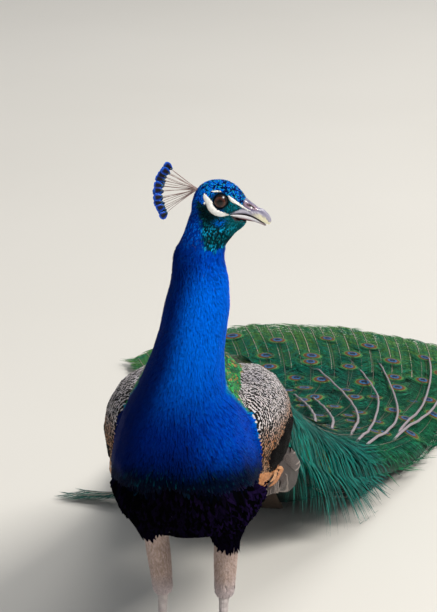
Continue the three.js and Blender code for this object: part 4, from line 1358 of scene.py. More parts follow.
def dress_thighs(skin, zone_at):
    """Short buff feathers down to the hock, under a ragged black fringe from the belly."""
    rng = np.random.default_rng(37)
    down = feather_material("leg_feathers", 0.7, 10, 0.12, 0.7)
    velvet = feather_material("thigh_fringe", 0.6, 10, 0.12, 0.5, Specular_IOR_Level=0.0)
    on_leg = lambda m: np.char.startswith(zone_at(m), "thigh")
    over_edge = lambda m: z_mm(m) - fringe_edge(body_mm(m))
    roots = skin.scatter(rng, 2.1, lambda m, n: on_leg(m) & (over_edge(m) < 8))
    noise = rng.random(len(roots))
    long = 7.5 + 3 * rng.random(len(roots))
    coat("leg_feathers", skin, roots, jitter(rng, leg_flow(roots), 8), long, 2.3 + 0.8 * noise,
         leg_colour(roots, noise), down, "plumage_buff", (0.6, 2.2, 3.2), SOFT_LEAF)
    roots = skin.scatter(rng, 3.2, lambda m, n: on_leg(m) & (over_edge(m) >= -3))
    noise = rng.random(len(roots))
    # the plum in the fringe's black is a painted purple sheen
    coat("thigh_fringe", skin, roots, jitter(rng, leg_flow(roots), 12), 19 + 10 * noise, 5.0,
         mix(BLACK, PLUM, 0.3 * noise), velvet, "plumage_black", (0.6, 3.6, 6.0), SOFT_LEAF)


LEG_X = 43           # the legs' distance from the middle, mm
HOCK = (34, 139)     # y and z of the hock's lower edge
ANKLE = (4, 24)      # and of the ankle
# Each toe's heading in degrees from the front, its length and its claw's, mm.
TOES = {"inner": (-27, 48, 15), "middle": (2, 66, 17), "outer": (30, 51, 15), "hind": (168, 20, 12)}
SCUTES = 21          # broad scales down the front of a shank
SCALE_TONES = (colour(0xA39A98), colour(0x716867), colour(0xC2B8B6))


def scale_colour(p, size, seam):
    """Grey leg scales in patches of that size (mm), darker where seam is above 0."""
    grey, dark, pale = SCALE_TONES
    return mix(mix(grey, pale, 0.5 + 0.5 * wobble(p, size)), dark, seam)


def make_shank(side):
    """The scaled shank: broad scutes in front, small scales behind."""
    rows, columns = 190, 64
    f = np.linspace(0, 1, rows)[:, None]
    turn = turns(columns)
    wide = np.interp(f, (0, 0.12, 0.3, 0.7, 0.9, 1), (8.1, 6.6, 5.7, 5.7, 6.9, 7.8))
    deep = np.interp(f, (0, 0.12, 0.3, 0.7, 0.9, 1), (9.5, 8.0, 7.0, 6.8, 7.4, 8.0))
    y = HOCK[0] + (ANKLE[0] - HOCK[0]) * f
    z = HOCK[1] + 5 + (ANKLE[1] - HOCK[1] - 5) * f
    fore = -np.sin(turn)
    scute = (f * SCUTES) % 1.0
    small = np.sin(f * SCUTES * 2 * math.pi * 1.6) * np.sin(turn * 8)
    raised = np.where(fore > 0.15, 0.75 * (scute ** 0.5) * smooth(1, 0.9, scute) - 0.35, 0.28 * small)
    lift = raised - 0.5 * bell((turn - 1.5 * math.pi) / 0.07)
    ring = stack(SIDES[side] * (LEG_X + (wide + lift) * np.cos(turn)), y + (deep + lift) * np.sin(turn), z)
    points, faces = capped(at(ring))
    seam = smooth(0.93, 1.0, scute) * (fore > 0.15) + smooth(-0.4, -0.9, small) * (fore <= 0.15)
    tint = scale_colour(ring, 14, np.clip(seam, 0, 1))
    return points, faces, np.vstack([tint.reshape(-1, 3), SCALE_TONES[0], SCALE_TONES[0]])


def toe_axes(side, heading):
    """A toe's direction on the floor, and the one across it. heading is in degrees from the front."""
    h, sign = math.radians(heading), SIDES[side]
    return (math.sin(h) * sign, -math.cos(h)), (math.cos(h) * sign, math.sin(h))


def toe_shape(side, heading, length):
    """A toe with pads below and scutes above, along its heading from the ball of the foot."""
    f = np.linspace(0, 1, 64)[:, None]
    reach = -3 + (length + 3) * f
    pads = max(round(length / 16), 1)
    bulge = 0.55 * np.abs(np.sin(f * math.pi * pads))
    half = np.interp(f, (0, 0.3, 0.8, 0.96, 1), (5.2, 5.1, 4.3, 3.6, 2.0)) + bulge
    top = np.interp(f, (0, 0.3, 0.8, 1), (13.5, 10.4, 8.2, 6.6)) + 0.45 * ((f * length / 4.2) % 1.0)
    c, s = np.cos(turns(28)), np.sin(turns(28))
    z = np.where(s > 0, 4 + (top - 4) * s, 4 + 4.4 * np.sign(s) * np.abs(s) ** 0.6)
    ahead, across = toe_axes(side, heading)
    x = SIDES[side] * LEG_X + ahead[0] * reach + across[0] * half * c
    y = ANKLE[0] - 6 + ahead[1] * reach + across[1] * half * c
    return stack(x, y, np.maximum(z, 0.0))


def make_foot(side):
    """Four toes round a narrow instep."""
    parts = [capped(at(toe_shape(side, heading, length))) for heading, length, _ in TOES.values()]
    f = np.linspace(0, 1, 26)[:, None]
    turn = turns(40)
    wide = np.interp(f, (0, 0.35, 0.75, 1), (7.6, 8.6, 9.6, 8.2))
    deep = np.interp(f, (0, 0.35, 0.75, 1), (8.0, 10.0, 11.0, 9.0))
    middle = np.interp(f, (0, 0.35, 1), (4, 1, -2))
    ring = stack(SIDES[side] * (LEG_X + wide * np.cos(turn)), middle + deep * np.sin(turn), 24.5 * (1 - f))
    points, faces = join([*parts, capped(at(ring))])
    p = body_mm(points)
    return points, faces, scale_colour(p, 9, 0.7 * smooth(-0.2, -0.8, wobble(p, 3.3)))


def horn_cone(name, path, radii, tone, material, node):
    """A claw or a spur: a cone along a path in body mm that stays above the floor."""
    points, faces = tube(at(path), radii * MM, 12)
    points[:, 2] = np.maximum(points[:, 2], 0)
    part(name, points, faces, material, "claw", [node], tint=tone)


def make_legs():
    """Scaled shanks and feet, claws on the toes and a spur behind each shank."""
    leather = tinted_material("leg_scales", 0.5, 1400, 0.2, 0.78, Specular_IOR_Level=0.35)
    horn = tinted_material("claw_horn", 0.35, 900, 0.1, 0.7, Coat_Weight=0.1)
    for side, sign in SIDES.items():
        for kind, make in (("shank", make_shank), ("foot", make_foot)):
            points, faces, tint = make(side)
            part(f"scaled_{kind}_{side}", points, faces, leather, "leg_scale", [f"{kind}_{side}"], tint=tint)
        for toe, (heading, length, claw) in TOES.items():
            way = np.array([*toe_axes(side, heading)[0], 0])
            start = np.array([sign * LEG_X, ANKLE[0] - 6, 0])
            s = np.linspace(0, 1, 9)[:, None]
            path = start + way * (length - 2.5 + (claw + 2.5) * s)
            path[:, 2:] += 4.6 - 3.9 * s ** 2 + 0.8 * s
            horn_cone(f"{toe}_claw_{side}", path, np.maximum(2.5 * (1 - s[:, 0] ** 1.6), 0.35),
                      colour(0x3C332E), horn, f"claw_{toe}_{side}")
        s = np.linspace(0, 1, 10)[:, None]
        path = np.hstack([sign * (LEG_X - 2 - 3 * s), 16.5 + 4 + 20 * s - 3, 66 + 5 * s ** 2])
        horn_cone(f"leg_spur_{side}", path, np.maximum(4.2 * (1 - s[:, 0] ** 1.3), 0.4),
                  colour(0x5A4E46), horn, f"spur_{side}")


# ---- Crest ----------------------------------------------------------------------------------

CREST_COUNT = 24     # bare shafts in the fan
CREST_FAN = 76       # the fan's angle, degrees
CREST_LENGTH = 47.5  # its uppermost shaft, mm; the lowest is CREST_MORE longer
CREST_MORE = 9.5
CREST_TIP = 9.0      # how far before a shaft's full length its spatulate tip begins, mm
CREST_ROOT = (-29.6, 0, 10.4)


def crest_tip(root, out, turn, bottom, lean):
    """The spatulate tip of one shaft: points, faces, tint and vane."""
    rows, columns = 9, 7
    v = np.linspace(0, 1, rows)[:, None]
    u = np.linspace(-1, 1, columns)
    half = 5.6 * np.sin(math.pi * np.clip(v * 0.86 + 0.06, 0, 1)) ** 0.7 * (0.55 + 0.6 * v)
    middle = root + out * (bottom + 11.5 * v)
    cupped = stack(0, 0.6 * u * u + 0.25 * lean, 0)
    grid = middle[:, None] + turn * (half * u)[..., None] + cupped
    edge = np.maximum(np.abs(u) * 0.9, np.abs(v * 1.7 - 0.7) ** 1.6)
    tone = between(0x01030A, 0x0434B0, smooth(0.4, 0.62, edge))
    tone = mix(tone, colour(0x0A78FF), smooth(0.62, 0.85, edge))
    tone = mix(tone, colour(0x0C8F8A), 0.5 * smooth(0.25, 0.0, v))
    return (head_at(grid.reshape(-1, 3)), [grid_faces(rows, columns, closed=False)],
            tone.reshape(-1, 3), stack(np.linspace(0, 1, columns), v).reshape(-1, 2))


def make_crest():
    """A fan of bare shafts, each with a blue spatulate tip."""
    rng = np.random.default_rng(41)
    shafts, tips = [], []
    for i in range(CREST_COUNT):
        share = i / (CREST_COUNT - 1)
        angle = math.radians(180 + CREST_FAN * (share - 0.5) + rng.uniform(-0.8, 0.8))
        lean = math.sin(i * 2.4)
        out = np.array([math.cos(angle), 0.09 * lean, math.sin(angle)])
        turn = np.array([-out[2], 0, out[0]])
        reach = CREST_LENGTH + CREST_MORE * share ** 1.2 + rng.uniform(-1.2, 1.2)
        root = np.array(CREST_ROOT) + np.array([0, 2.2 * math.sin(i * 1.9), 0])
        s = np.linspace(0, 1, 9)[:8, None]
        path = root + out * (reach * s) + turn * 0.9 * np.sin(s * math.pi) * math.sin(i * 1.3)
        shafts.append(tube(head_at(path), (0.42 - 0.16 * s[:, 0]) * MM, 6))
        tips.append(crest_tip(root, out, turn, reach - CREST_TIP, lean))
    points, faces = join(shafts)
    part("crest_shafts", points, faces, tinted_material("crest_shaft", 0.5, 900, 0.05, 0.8), "crest_feather",
         tint=colour(0x97807A))
    points, faces = join([tip[:2] for tip in tips])
    vane = np.vstack([tip[3] for tip in tips])
    material = feather_material("crest_tip", 0.42, 18, 0.1, 0.6, metallic=0.35)
    part("crest_tips", points, faces, material, "crest_feather", ["crest"],
         tint=np.vstack([tip[2] for tip in tips]), vane=vane,
         home=patches(stack(np.linspace(0.1, 0.9, CREST_COUNT), 0.02), vane))


# ---- Train ----------------------------------------------------------------------------------

# The train's cross-sections: distance back, centre, crown's height, half-width, and the heights
# of its side edge and of its underside, in body mm. Behind the last one lie the rear plumes.
TRAIN = np.array([(226, 3, 430, 56, 396, 380), (262, 2, 411, 76, 350, 326), (305, 2, 384, 94, 286, 286),
                  (350, 2, 350, 110, 224, 236), (400, 4, 308, 128, 184, 184), (450, 8, 266, 144, 150, 132),
                  (500, 12, 226, 162, 120, 84), (560, 16, 186, 184, 90, 34), (620, 22, 152, 203, 68, 0),
                  (700, 32, 118, 224, 42, 0), (780, 42, 92, 241, 20, 0), (860, 51, 70, 255, 5, 0),
                  (944, 58, 52, 266, 0, 0)], float)
REAR = 478           # length of the middle rear plume, mm
REAR_CURL = -22      # how far a rear plume turns along its length, degrees
TRAIN_END = TRAIN[-1, 0]
SINK = 5.0           # how far the train's bed lies inside its outer surface, mm
LIMIT = 340.0        # strands reach no farther out than this, mm


def train_station(d):
    """Interpolated cross-section values at distances back along the train."""
    t = np.interp(np.clip(d, TRAIN[0, 0], TRAIN_END), TRAIN[:, 0], np.linspace(0, 1, len(TRAIN)))
    return np.moveaxis(along(TRAIN, t), -1, 0)


def lane(q, d):
    """The train's outer surface at a lateral share q (-1 to 1, drooping beyond) and a distance d."""
    q, d = np.broadcast_arrays(np.asarray(q, float), np.asarray(d, float))
    _, x, top, span, edge, _ = train_station(d)
    inside = np.clip(q, -1, 1)
    beyond = (np.abs(q) - np.abs(inside)) * span
    spread = smooth(60, 0, edge)
    y = np.minimum(d, TRAIN_END)
    z = edge + (top - edge) * np.clip(1 - inside ** 2, 0, 1) ** 0.4 - beyond * (1 - spread)
    x = x + np.sign(q) * (np.abs(inside) * span + beyond * (0.15 + 0.85 * spread))
    # rear: every lane leaves with its own heading and turns by the same curl
    s = np.maximum(d - TRAIN_END, 0) / REAR
    heading, curl = np.radians(5 + 8 * inside), math.radians(REAR_CURL)
    run = REAR * (1 - np.where(inside < 0, 0.4, 0.16) * inside ** 2)
    x = x + run * (np.cos(heading) - np.cos(heading + curl * s)) / curl
    y = y + run * (np.sin(heading + curl * s) - np.sin(heading)) / curl
    low = (17 + 20 * (1 - inside ** 2)) * (1 - 0.55 * s)
    z = np.where(s > 0, z + (low - z) * smooth(0, 0.25, s), z)
    return np.stack([x, y, np.maximum(z, 0.6)], -1)


def lane_frame(q, d):
    """Surface points and upward normals of the train."""
    point = lane(q, d)
    across = lane(q + 0.01, d) - lane(q - 0.01, d)
    back = lane(q, d + 3) - lane(q, d - 3)
    normal = np.cross(across, back)
    normal = normal * np.where(normal[..., 2:] < -1e-9, -1, 1) + np.array([0, 0, 1e-6])
    return point, unit(normal)


def lane_share(p):
    """How far across the train a body place lies, in half-widths from its middle."""
    _, x, _, span, _, _ = train_station(p[:, 1])
    return (p[:, 0] - x) / span


def train_home(points):
    """The train's unwrap: across its width, and along its length."""
    p = body_mm(points)
    return stack(0.5 + 0.42 * np.clip(lane_share(p), -1.15, 1.15), (p[:, 1] - 150) / 1320)


def train_tone(d, noise):
    """Barb colours from the bronze-green root to the teal and emerald plumes."""
    tone = between(0x0E5A4A, 0x087F6A, noise)
    tone = mix(tone, colour(0x0B9A70), 0.6 * smooth(0.6, 1.0, noise))
    return mix(between(0x4C6A1E, 0x8A7A2A, noise), tone, smooth(330, 560, d))


def make_train_bed():
    """The dark mass of overlapped feathers under the plumes, closed below."""
    d = np.concatenate([np.linspace(232, TRAIN_END, 74), np.linspace(TRAIN_END + 8, 1406, 46)])[:, None]
    q = np.cos(np.linspace(0.06, math.pi - 0.06, 61))
    crown, normal = lane_frame(q, d)
    crown = crown - normal * SINK
    crown[..., 2] = np.maximum(crown[..., 2], 0.8)
    edge, under = train_station(d)[4:]
    share = np.linspace(-0.97, 0.97, 17)
    floor = under + (edge - 9 - under) * share ** 2
    below = lane(share, d)
    below[..., 2] = np.clip(np.minimum(floor + 4, below[..., 2] - 3), 0.6, None)
    points, faces = capped(at(np.concatenate([crown, below], 1)[:, ::-1]))
    mesh = mesh_from("train_bed", points, faces)
    p = body_mm(points)
    tone = between(0x31401A, 0x06332C, smooth(300, 560, p[:, 1]))
    tone = mix(tone, colour(0x241D12), 0.5 * smooth(900, 1300, p[:, 1]))
    set_tint(mesh, tone * (0.75 + 0.25 * wobble(p, 30))[:, None])
    nodes = ["train_root", "train_fore", "train_middle", "train_rear",
             *(f"train_plume_{i}" for i in range(1, 10))]
    material = tinted_material("train_bed", 0.7, 260, 0.6, 0.35)
    finish_piece(new_object("train_bed", mesh, material), "plumage_green", nodes)
    return Surface(mesh)


def train_flow(points):
    """Back along the train's lanes, spreading a little towards its sides."""
    p = body_mm(points)
    q = np.clip(lane_share(p), -1, 1)
    step = lane(q, p[:, 1] + 6) - lane(q, p[:, 1] - 6)
    return unit(step + stack(0.6 * q ** 3, 0, 0))


def dress_train_root(bed):
    """Bronze-green scale feathers over the front of the train, larger towards the back."""
    rng = np.random.default_rng(51)
    scales = feather_material("train_scales", 0.4, 16, 0.15, 0.6, metallic=0.55, hem=0.9,
                              hem_tint=colour(0x0A0D0A))
    grow = lambda m: smooth(230, 470, y_mm(m))
    roots = bed.scatter(rng, lambda m: 6.8 + 7.5 * grow(m),
                        lambda m, n: (y_mm(m) < 478) & (n[:, 2] > -0.25) & (y_mm(m) > 234))
    roots = roots[np.argsort(-roots[:, 1])]
    noise = rng.random(len(roots))
    tone = mix(between(0x1E8A3C, 0x8A7A2C, noise), between(0x1C8A5A, 0x7A7A2A, noise), grow(roots))
    tone = mix(tone, colour(0x0E3A24), 0.8 * smooth(285, 245, y_mm(roots)))
    long = 16 + 20 * grow(roots)
    coat("train_scale_feathers", bed, roots, jitter(rng, train_flow(roots), 7), long, long * 0.72, tone,
         scales, "plumage_green", (1.0, 4.2, 6.4), home=train_home)


def ocellus_material():
    """The eye of a train feather: violet heart in blue, bronze and gold-green rings."""
    s = Shader("train_ocellus", roughness=0.42, Metallic=0.25, Specular_IOR_Level=0.2)
    across, along_ = s.vane()
    x = s.math("SUBTRACT", across, 0.5)
    y = s.math("SUBTRACT", along_, 0.5)
    squares = [s.math("POWER", s.math("ABSOLUTE", value), 2.0) for value in (x, y)]
    out = s.math("MULTIPLY", s.math("SQRT", s.math("ADD", *squares)), 2.0)
    # the heart's notch opens towards the root
    notch = s.math("MULTIPLY", s.step(s.math("ABSOLUTE", x), 0.07, 0.0), s.step(y, 0.02, -0.14))
    heart = s.math("ADD", s.math("ADD", out, s.math("MULTIPLY", y, -0.25)), s.math("MULTIPLY", notch, 0.22))
    ray = s.math("SINE", s.math("MULTIPLY", s.math("ARCTAN2", x, s.math("ADD", y, 0.6)), 150.0))
    rings = s.blend(s.step(heart, 0.27, 0.31), rgb(0x0B0630), rgb(0x0A6FA8))
    for inner, outer, code in ((0.45, 0.50, 0x74431A), (0.56, 0.66, 0x5C3A16), (0.72, 0.75, 0x8A7A2C),
                               (0.79, 0.84, 0x1C7A3C), (0.90, 1.0, 0x3F7A34)):
        rings = s.blend(s.step(out, inner, outer), rings, rgb(code))
    s.colour(s.blend(s.step(ray, 1.5, -1.2), rings, s.blend(0.6, (0, 0, 0), rings)))
    s.bump(ray, 0.12)
    return s.material


def disc(rows, columns):
    """A rounded patch of unit half-width and half-length, as a grid folded into an oval."""
    v = np.linspace(-1, 1, rows)[:, None]
    u = np.linspace(-1, 1, columns)[None]
    x = u * np.sqrt(np.clip(1 - 0.5 * v ** 2, 0, 1))
    y = v * np.sqrt(np.clip(1 - 0.5 * u ** 2, 0, 1))
    return stack(x, y).reshape(-1, 2), grid_faces(rows, columns, closed=False)


DISC, DISC_FACES = disc(9, 9)


def ribbons(path, normal, half, w, edge):
    """Flat ribbons along many paths in body mm; half is their half-width at each step.

    w is 0 to 1 along a path, and edge is where the ribbon's side lies across its vane. Returns
    points, faces and each point's across and along."""
    across = unit(np.cross(unit(np.gradient(path, axis=-2)), normal)) * half[:, None]
    strip = np.stack([path - across, path + across], -2)
    strip[..., 2] = np.maximum(strip[..., 2], 0.45)
    steps = len(w)
    count = strip.size // (6 * steps)
    vane = np.tile(stack(np.array([edge, 1 - edge]), w[:, None]).reshape(-1, 2), (count, 1))
    return at(strip.reshape(-1, 3)), [copies(grid_faces(steps, 2, closed=False), count, 2 * steps)], vane


class Plumes:
    """Loose-barbed plumes. place(i, back, across) gives the surface point and normal at a distance
    back from plume i's tip and sideways from its shaft, both in mm."""

    def __init__(self, rng, place, length, lift, scale=None):
        self.rng, self.place, self.length, self.lift = rng, place, length, lift
        self.count = len(length)
        self.scale = np.ones(self.count) if scale is None else scale

    def raised(self, i, back, across, extra):
        """A point above the surface: plumes rise from under their neighbours towards their tips."""
        point, normal = self.place(i, back, across)
        height = self.lift[i] * (0.25 + 0.75 * smooth(1, 0, back / self.length[i])) + extra
        point = point + normal * height[..., None]
        point[..., 2] = np.maximum(point[..., 2], 0.5)
        return point, normal

    def shafts(self, thick, end=24.0, stations=18, sides=5):
        """Bare rods: points, faces, and each point's share of the way to the tip."""
        i = np.arange(self.count)[:, None] + np.zeros(stations, int)
        s = np.linspace(0, 1, stations)
        back = self.length[:, None] * (1 - s) + end * self.scale[:, None] * s
        path, normal = self.raised(i, back, 0.0, 0.8)
        side = unit(np.cross(unit(np.gradient(path, axis=1)), normal))[:, :, None]
        turn = turns(sides)[..., None]
        radius = (thick * (1.25 - 0.85 * s))[:, None, None]
        rings = path[:, :, None] + radius * (np.cos(turn) * side + np.sin(turn) * normal[:, :, None])
        rings[..., 2] = np.maximum(rings[..., 2], 0.4)
        faces = copies(grid_faces(stations, sides), self.count, stations * sides)
        return at(rings.reshape(-1, 3)), [faces], np.tile(np.repeat(s, sides), self.count)

    def barbs(self, per_side, reach, width=1.7, sweep=(0.80, 0.30, 0.45, 0.40), low=6.0):
        """Barbs on both sides of each shaft; reach(distance back, plume) is their length in mm.

        sweep is how far a barb goes sideways, bends back in, goes forward and bends forward, as
        shares of its length; low is where the first barbs grow, in mm from the tip.
        Returns points, faces, vane, the barbs' roots, their plumes and their distances back."""
        shape = (self.count, per_side, 2)
        i = np.broadcast_to(np.arange(self.count)[:, None, None], shape)
        share = (np.arange(per_side)[:, None] + self.rng.random(shape) * 0.8) / per_side
        root = low + (self.length[i] - low) * share
        side = np.array([1.0, -1.0])
        size = reach(root, i) * self.scale[i] * (1 + 0.14 * self.rng.normal(size=shape))
        wave = 1 + 0.10 * np.sin(root / 11 + i * 1.7 + side)
        w = np.linspace(0, 1, 5)
        out, back_in, ahead, ahead_more = sweep
        skew = (1 + 0.08 * self.rng.normal(size=shape))[..., None]
        sideways = (side * size * wave)[..., None] * (out * w - back_in * w * w) * skew
        forward = size[..., None] * (ahead * w + ahead_more * w * w)
        spread = np.broadcast_to(i[..., None], sideways.shape)
        droop = -0.5 * self.lift[spread] * w ** 2 * (0.4 + self.rng.random(shape)[..., None]) + 0.3
        path, normal = self.raised(spread, root[..., None] - forward, sideways, droop)
        half = width / 2 * np.interp(w, (0, 0.2, 0.75, 1), (0.5, 1.0, 0.85, 0.12))
        points, faces, vane = ribbons(path, normal, half, w, 0.35)
        return points, faces, vane, at(self.place(i, root, 0.0)[0].reshape(-1, 3)), i.ravel(), root.ravel()

    def eyes(self, half_wide=19.0, half_long=22.0, centre=31.0):
        """The domed disc of each plume's eye: points, faces, vane and the eyes' centres."""
        i = np.arange(self.count)[:, None] + np.zeros(len(DISC), int)
        across = DISC[:, 0] * half_wide * self.scale[:, None]
        back = (centre - DISC[:, 1] * half_long) * self.scale[:, None]
        points, _ = self.raised(i, back, across, 1.1 - 1.6 * (DISC ** 2).sum(1))
        middle, _ = self.place(np.arange(self.count), centre * self.scale, 0.0)
        return (at(points.reshape(-1, 3)), [copies(DISC_FACES, self.count, len(DISC))],
                np.tile(0.5 + DISC / 2, (self.count, 1)), at(middle))


def loose_barbs(name, roughness=0.42, shine=0.08, sheen=(0.2, 1.0, 0.9, 1.0)):
    """The material of loose, hair-like barbs."""
    return feather_material(name, roughness, 3, 0.05, 0.6, metallic=0.2, Specular_IOR_Level=shine,
                            Specular_Tint=sheen)


def train_part(name, points, faces, material, nodes=(), home=None, vane=None, tint=None):
    """A piece of the train; home holds the place on the train of each of its feathers."""
    if home is not None:
        home = patches(train_home(home), vane)
    part(name, points, faces, material, "plumage_teal", nodes, tint=tint, vane=vane, home=home)


def barb_piece(name, plumes, tone, material, nodes=(), **how):
    """One mesh of all the barbs of a set of plumes, darker at their roots."""
    points, faces, vane, roots, plume, back = plumes.barbs(**how)
    noise = plumes.rng.random(len(roots))
    tint = np.repeat(tone(back, plume, noise), len(points) // len(roots), 0)
    tint = mix(tint, tint * 0.35, smooth(0.25, 0.0, vane[:, 1]) * 0.7)
    train_part(name, points, faces, material, nodes, roots, vane, tint)


FIRST_ROW, LAST_ROW = 560.0, 1400   # the rows of eyed plumes' tips lie between these, mm back
ROW_GAP = 56         # between the first rows, mm
PLUME_GAP = 64       # between the plumes of a row, mm
FISHTAILS = 31       # plumes without an eye at the train's rim


def plume_rows(rng):
    """The lane, the tip's distance, the length and the drift of each eyed plume, row after row."""
    q, d = [], []
    tip, row = FIRST_ROW, 0
    while tip < LAST_ROW:
        narrower = 0.16 * max(tip - TRAIN_END, 0) / REAR
        many = max(int(round(2 * float(train_station(tip)[3]) * (1 - narrower) / PLUME_GAP)), 4)
        shares = (np.arange(many) + 0.5 + (0.25 if row % 2 else -0.25)) / many * 2 - 1
        q.extend(shares * (0.72 + 0.24 * float(smooth(560, 800, tip))) + rng.normal(0, 0.03, many))
        d.extend(tip + rng.normal(0, 15, many) - 14 * shares ** 2)
        tip += ROW_GAP + 0.03 * (tip - FIRST_ROW)
        row += 1
    q, d = np.array(q), np.array(d)
    wander = rng.normal(0, 0.06, len(q))
    order = np.argsort(-d)
    return q[order], d[order], np.clip(d - 400, 90, 330)[order], wander[order]


def dress_train():
    """Rows of eyed plumes down the train, shafts pale, barbs loose, and fish-tailed ones at its rim."""
    rng = np.random.default_rng(53)
    loose = loose_barbs("train_barbs")
    pale = tinted_material("train_shafts", 0.45, 300, 0.1, 0.85)
    eyed = ocellus_material()
    q, d, length, wander = plume_rows(rng)

    def place(i, back, across):
        share = np.clip(back / length[i], 0, 1)
        reach = d[i] - back
        return lane_frame(q[i] + wander[i] * share ** 2 + across / train_station(reach)[3], reach)

    near_body = 1 - 0.55 * smooth(-0.3, -0.55, q) * smooth(780, 650, d)

    def reach(back, i):
        return near_body[i] * np.interp(back, (4, 16, 30, 60, 110, 220, 330), (30, 38, 48, 58, 62, 56, 40))

    def tone(back, i, noise):
        green = 0.45 * smooth(0.1, 1.0, q[i]) * smooth(700, 1100, d[i])
        base = mix(train_tone(d[i], noise), colour(0x2F7A34), green)
        return mix(base, between(0x0F8450, 0x5A7A2C, noise), 0.7 * smooth(66, 34, back))

    lift = 8 + 7 * rng.random(len(q))
    scale = (0.68 + 0.24 * smooth(560, 1100, d)) * rng.uniform(0.85, 1.1, len(q))
    plumes = Plumes(rng, place, length, lift, scale)
    barb_piece("train_plume_barbs", plumes, tone, loose, per_side=66, reach=reach)
    points, faces, share = plumes.shafts(0.6)
    train_part("train_plume_shafts", points, faces, pale,
               tint=between(0x6E675A, 0x4A4628, smooth(0.55, 1.0, share)))
    points, faces, vane, middle = plumes.eyes()
    train_part("train_eyes", points, faces, eyed, home=middle, vane=vane)
    dress_rim(rng, loose, pale)


def dress_rim(rng, loose, pale):
    """Plumes at the end of the train without an eye, which end in a fish tail."""
    q = np.linspace(-0.98, 0.98, FISHTAILS)
    tips = 1424 + rng.normal(0, 8, FISHTAILS)
    tails = Plumes(rng, lambda i, back, across: lane_frame(q[i] + across / 262, tips[i] - back),
                   np.full(FISHTAILS, 240.0), 6 + 3 * rng.random(FISHTAILS))
    barb_piece("train_fishtails", tails, lambda back, i, noise: between(0x0B6E52, 0x5E8A35, noise), loose,
               per_side=90, width=2.5, low=1.0, sweep=(0.75, 0.05, 0.62, 0.05),
               reach=lambda back, i: np.interp(back, (0, 20, 60, 140, 240), (30, 36, 34, 30, 24)))
    points, faces, _ = tails.shafts(0.8, end=2)
    train_part("train_fishtail_shafts", points, faces, pale, tint=colour(0xB9A99C))


STRANDS = 980        # hair-like strands on each side
FORE_STRANDS = 680   # how many of them grow on the train's front part


def dress_train_sides():
    """Teal hair-like strands that hang from the train's sides to the floor, with painted highlights on some
    locks near the front.
    """
    rng = np.random.default_rng(59)
    loose = loose_barbs("side_strands", 0.4)
    w = np.linspace(0, 1, 9)
    for side, sign in SIDES.items():
        start = rng.uniform(236, 560, STRANDS)
        start[FORE_STRANDS:] = rng.uniform(540, 1060, STRANDS - FORE_STRANDS)
        q = rng.uniform(0.5, 0.99, STRANDS)
        q[FORE_STRANDS:] = rng.uniform(0.84, 1.0, STRANDS - FORE_STRANDS)
        locks = np.sin(start / 13 + 5 * q)
        long = rng.uniform(80, 150, STRANDS) * smooth(180, 330, start + 60)
        long = long * (1 - 0.45 * smooth(480, 640, start))
        bend = rng.normal(0, 0.06, STRANDS) + 0.05 * locks
        most = 0.8 if side == "left" else 0.35
        hang = most * smooth(620, 360, start) * rng.uniform(0.35, 1.0, STRANDS)
        hang = np.where(start < 620, hang, 0.03)
        q = q[:, None] + hang[:, None] * w ** 1.5 + bend[:, None] * w ** 2
        d = start[:, None] + long[:, None] * (0.9 * w + 0.12 * w ** 2)
        path, normal = lane_frame(sign * q, d)
        path = path + normal * (2.5 + 5.5 * np.sin(w * math.pi * 0.7) * rng.random((STRANDS, 1)))[..., None]
        tucked = 46 * w ** 2.5 * smooth(500, 330, start)[:, None]
        path[..., 0] += sign * (5 * w * rng.random((STRANDS, 1)) - tucked)
        path[..., 0] = np.clip(path[..., 0], -LIMIT, LIMIT)
        path[..., 2] = np.maximum(path[..., 2], 0.6)
        half = 1.15 * np.interp(w, (0, 0.2, 0.7, 1), (0.5, 1, 0.8, 0.1))
        points, faces, vane = ribbons(path, normal, half, w, 0.3)
        noise = rng.random(STRANDS)
        # painted highlight: brighter teal on some locks near the train's front
        bright = 0.7 * smooth(0.3, 1, locks) * smooth(520, 300, start)
        tone = mix(between(0x044A48, 0x077F74, noise), colour(0x0CA694), bright)
        tone = mix(tone, between(0x0A4A34, 0x1E7A4A, noise), smooth(520, 640, start))
        train_part(f"train_strands_{side}", points, faces, loose, home=at(path[:, 0]), vane=vane,
                   tint=np.repeat(tone, 2 * len(w), 0))


# Two plumes together leave each of the train's sides: start on the floor, heading from +Y towards
# +X and curl in degrees, length, and the height they come down from, as in the CAD.
SIDE_PLUMES = {"left": (110, 500, 40, -34, 300, 92), "right": (-112, 575, -82, 6, 215, 52)}
# Bare shafts over the left of the train: places on the floor plan in body mm, from front to back.
BARE_SHAFTS = [[(118, 500), (126, 625), (108, 772), (83, 888), (48, 1000)],
               [(132, 480), (156, 629), (140, 760), (117, 872), (84, 985)],
               [(130, 450), (184, 609), (190, 773), (172, 906), (117, 1080), (64, 1200)],
               [(136, 440), (190, 590), (212, 702), (219, 932), (203, 1049), (137, 1271)],
               [(146, 470), (194, 589), (250, 766), (254, 936), (225, 1110), (196, 1274)],
               [(170, 520), (268, 839), (298, 996), (308, 1192), (292, 1310)],
               [(160, 480), (288, 875), (322, 1023), (332, 1160)]]


def averaged(values, reach):
    """A running mean over reach values to each side; the list loses that many at both its ends."""
    return np.convolve(values, np.ones(2 * reach + 1) / (2 * reach + 1), "valid")


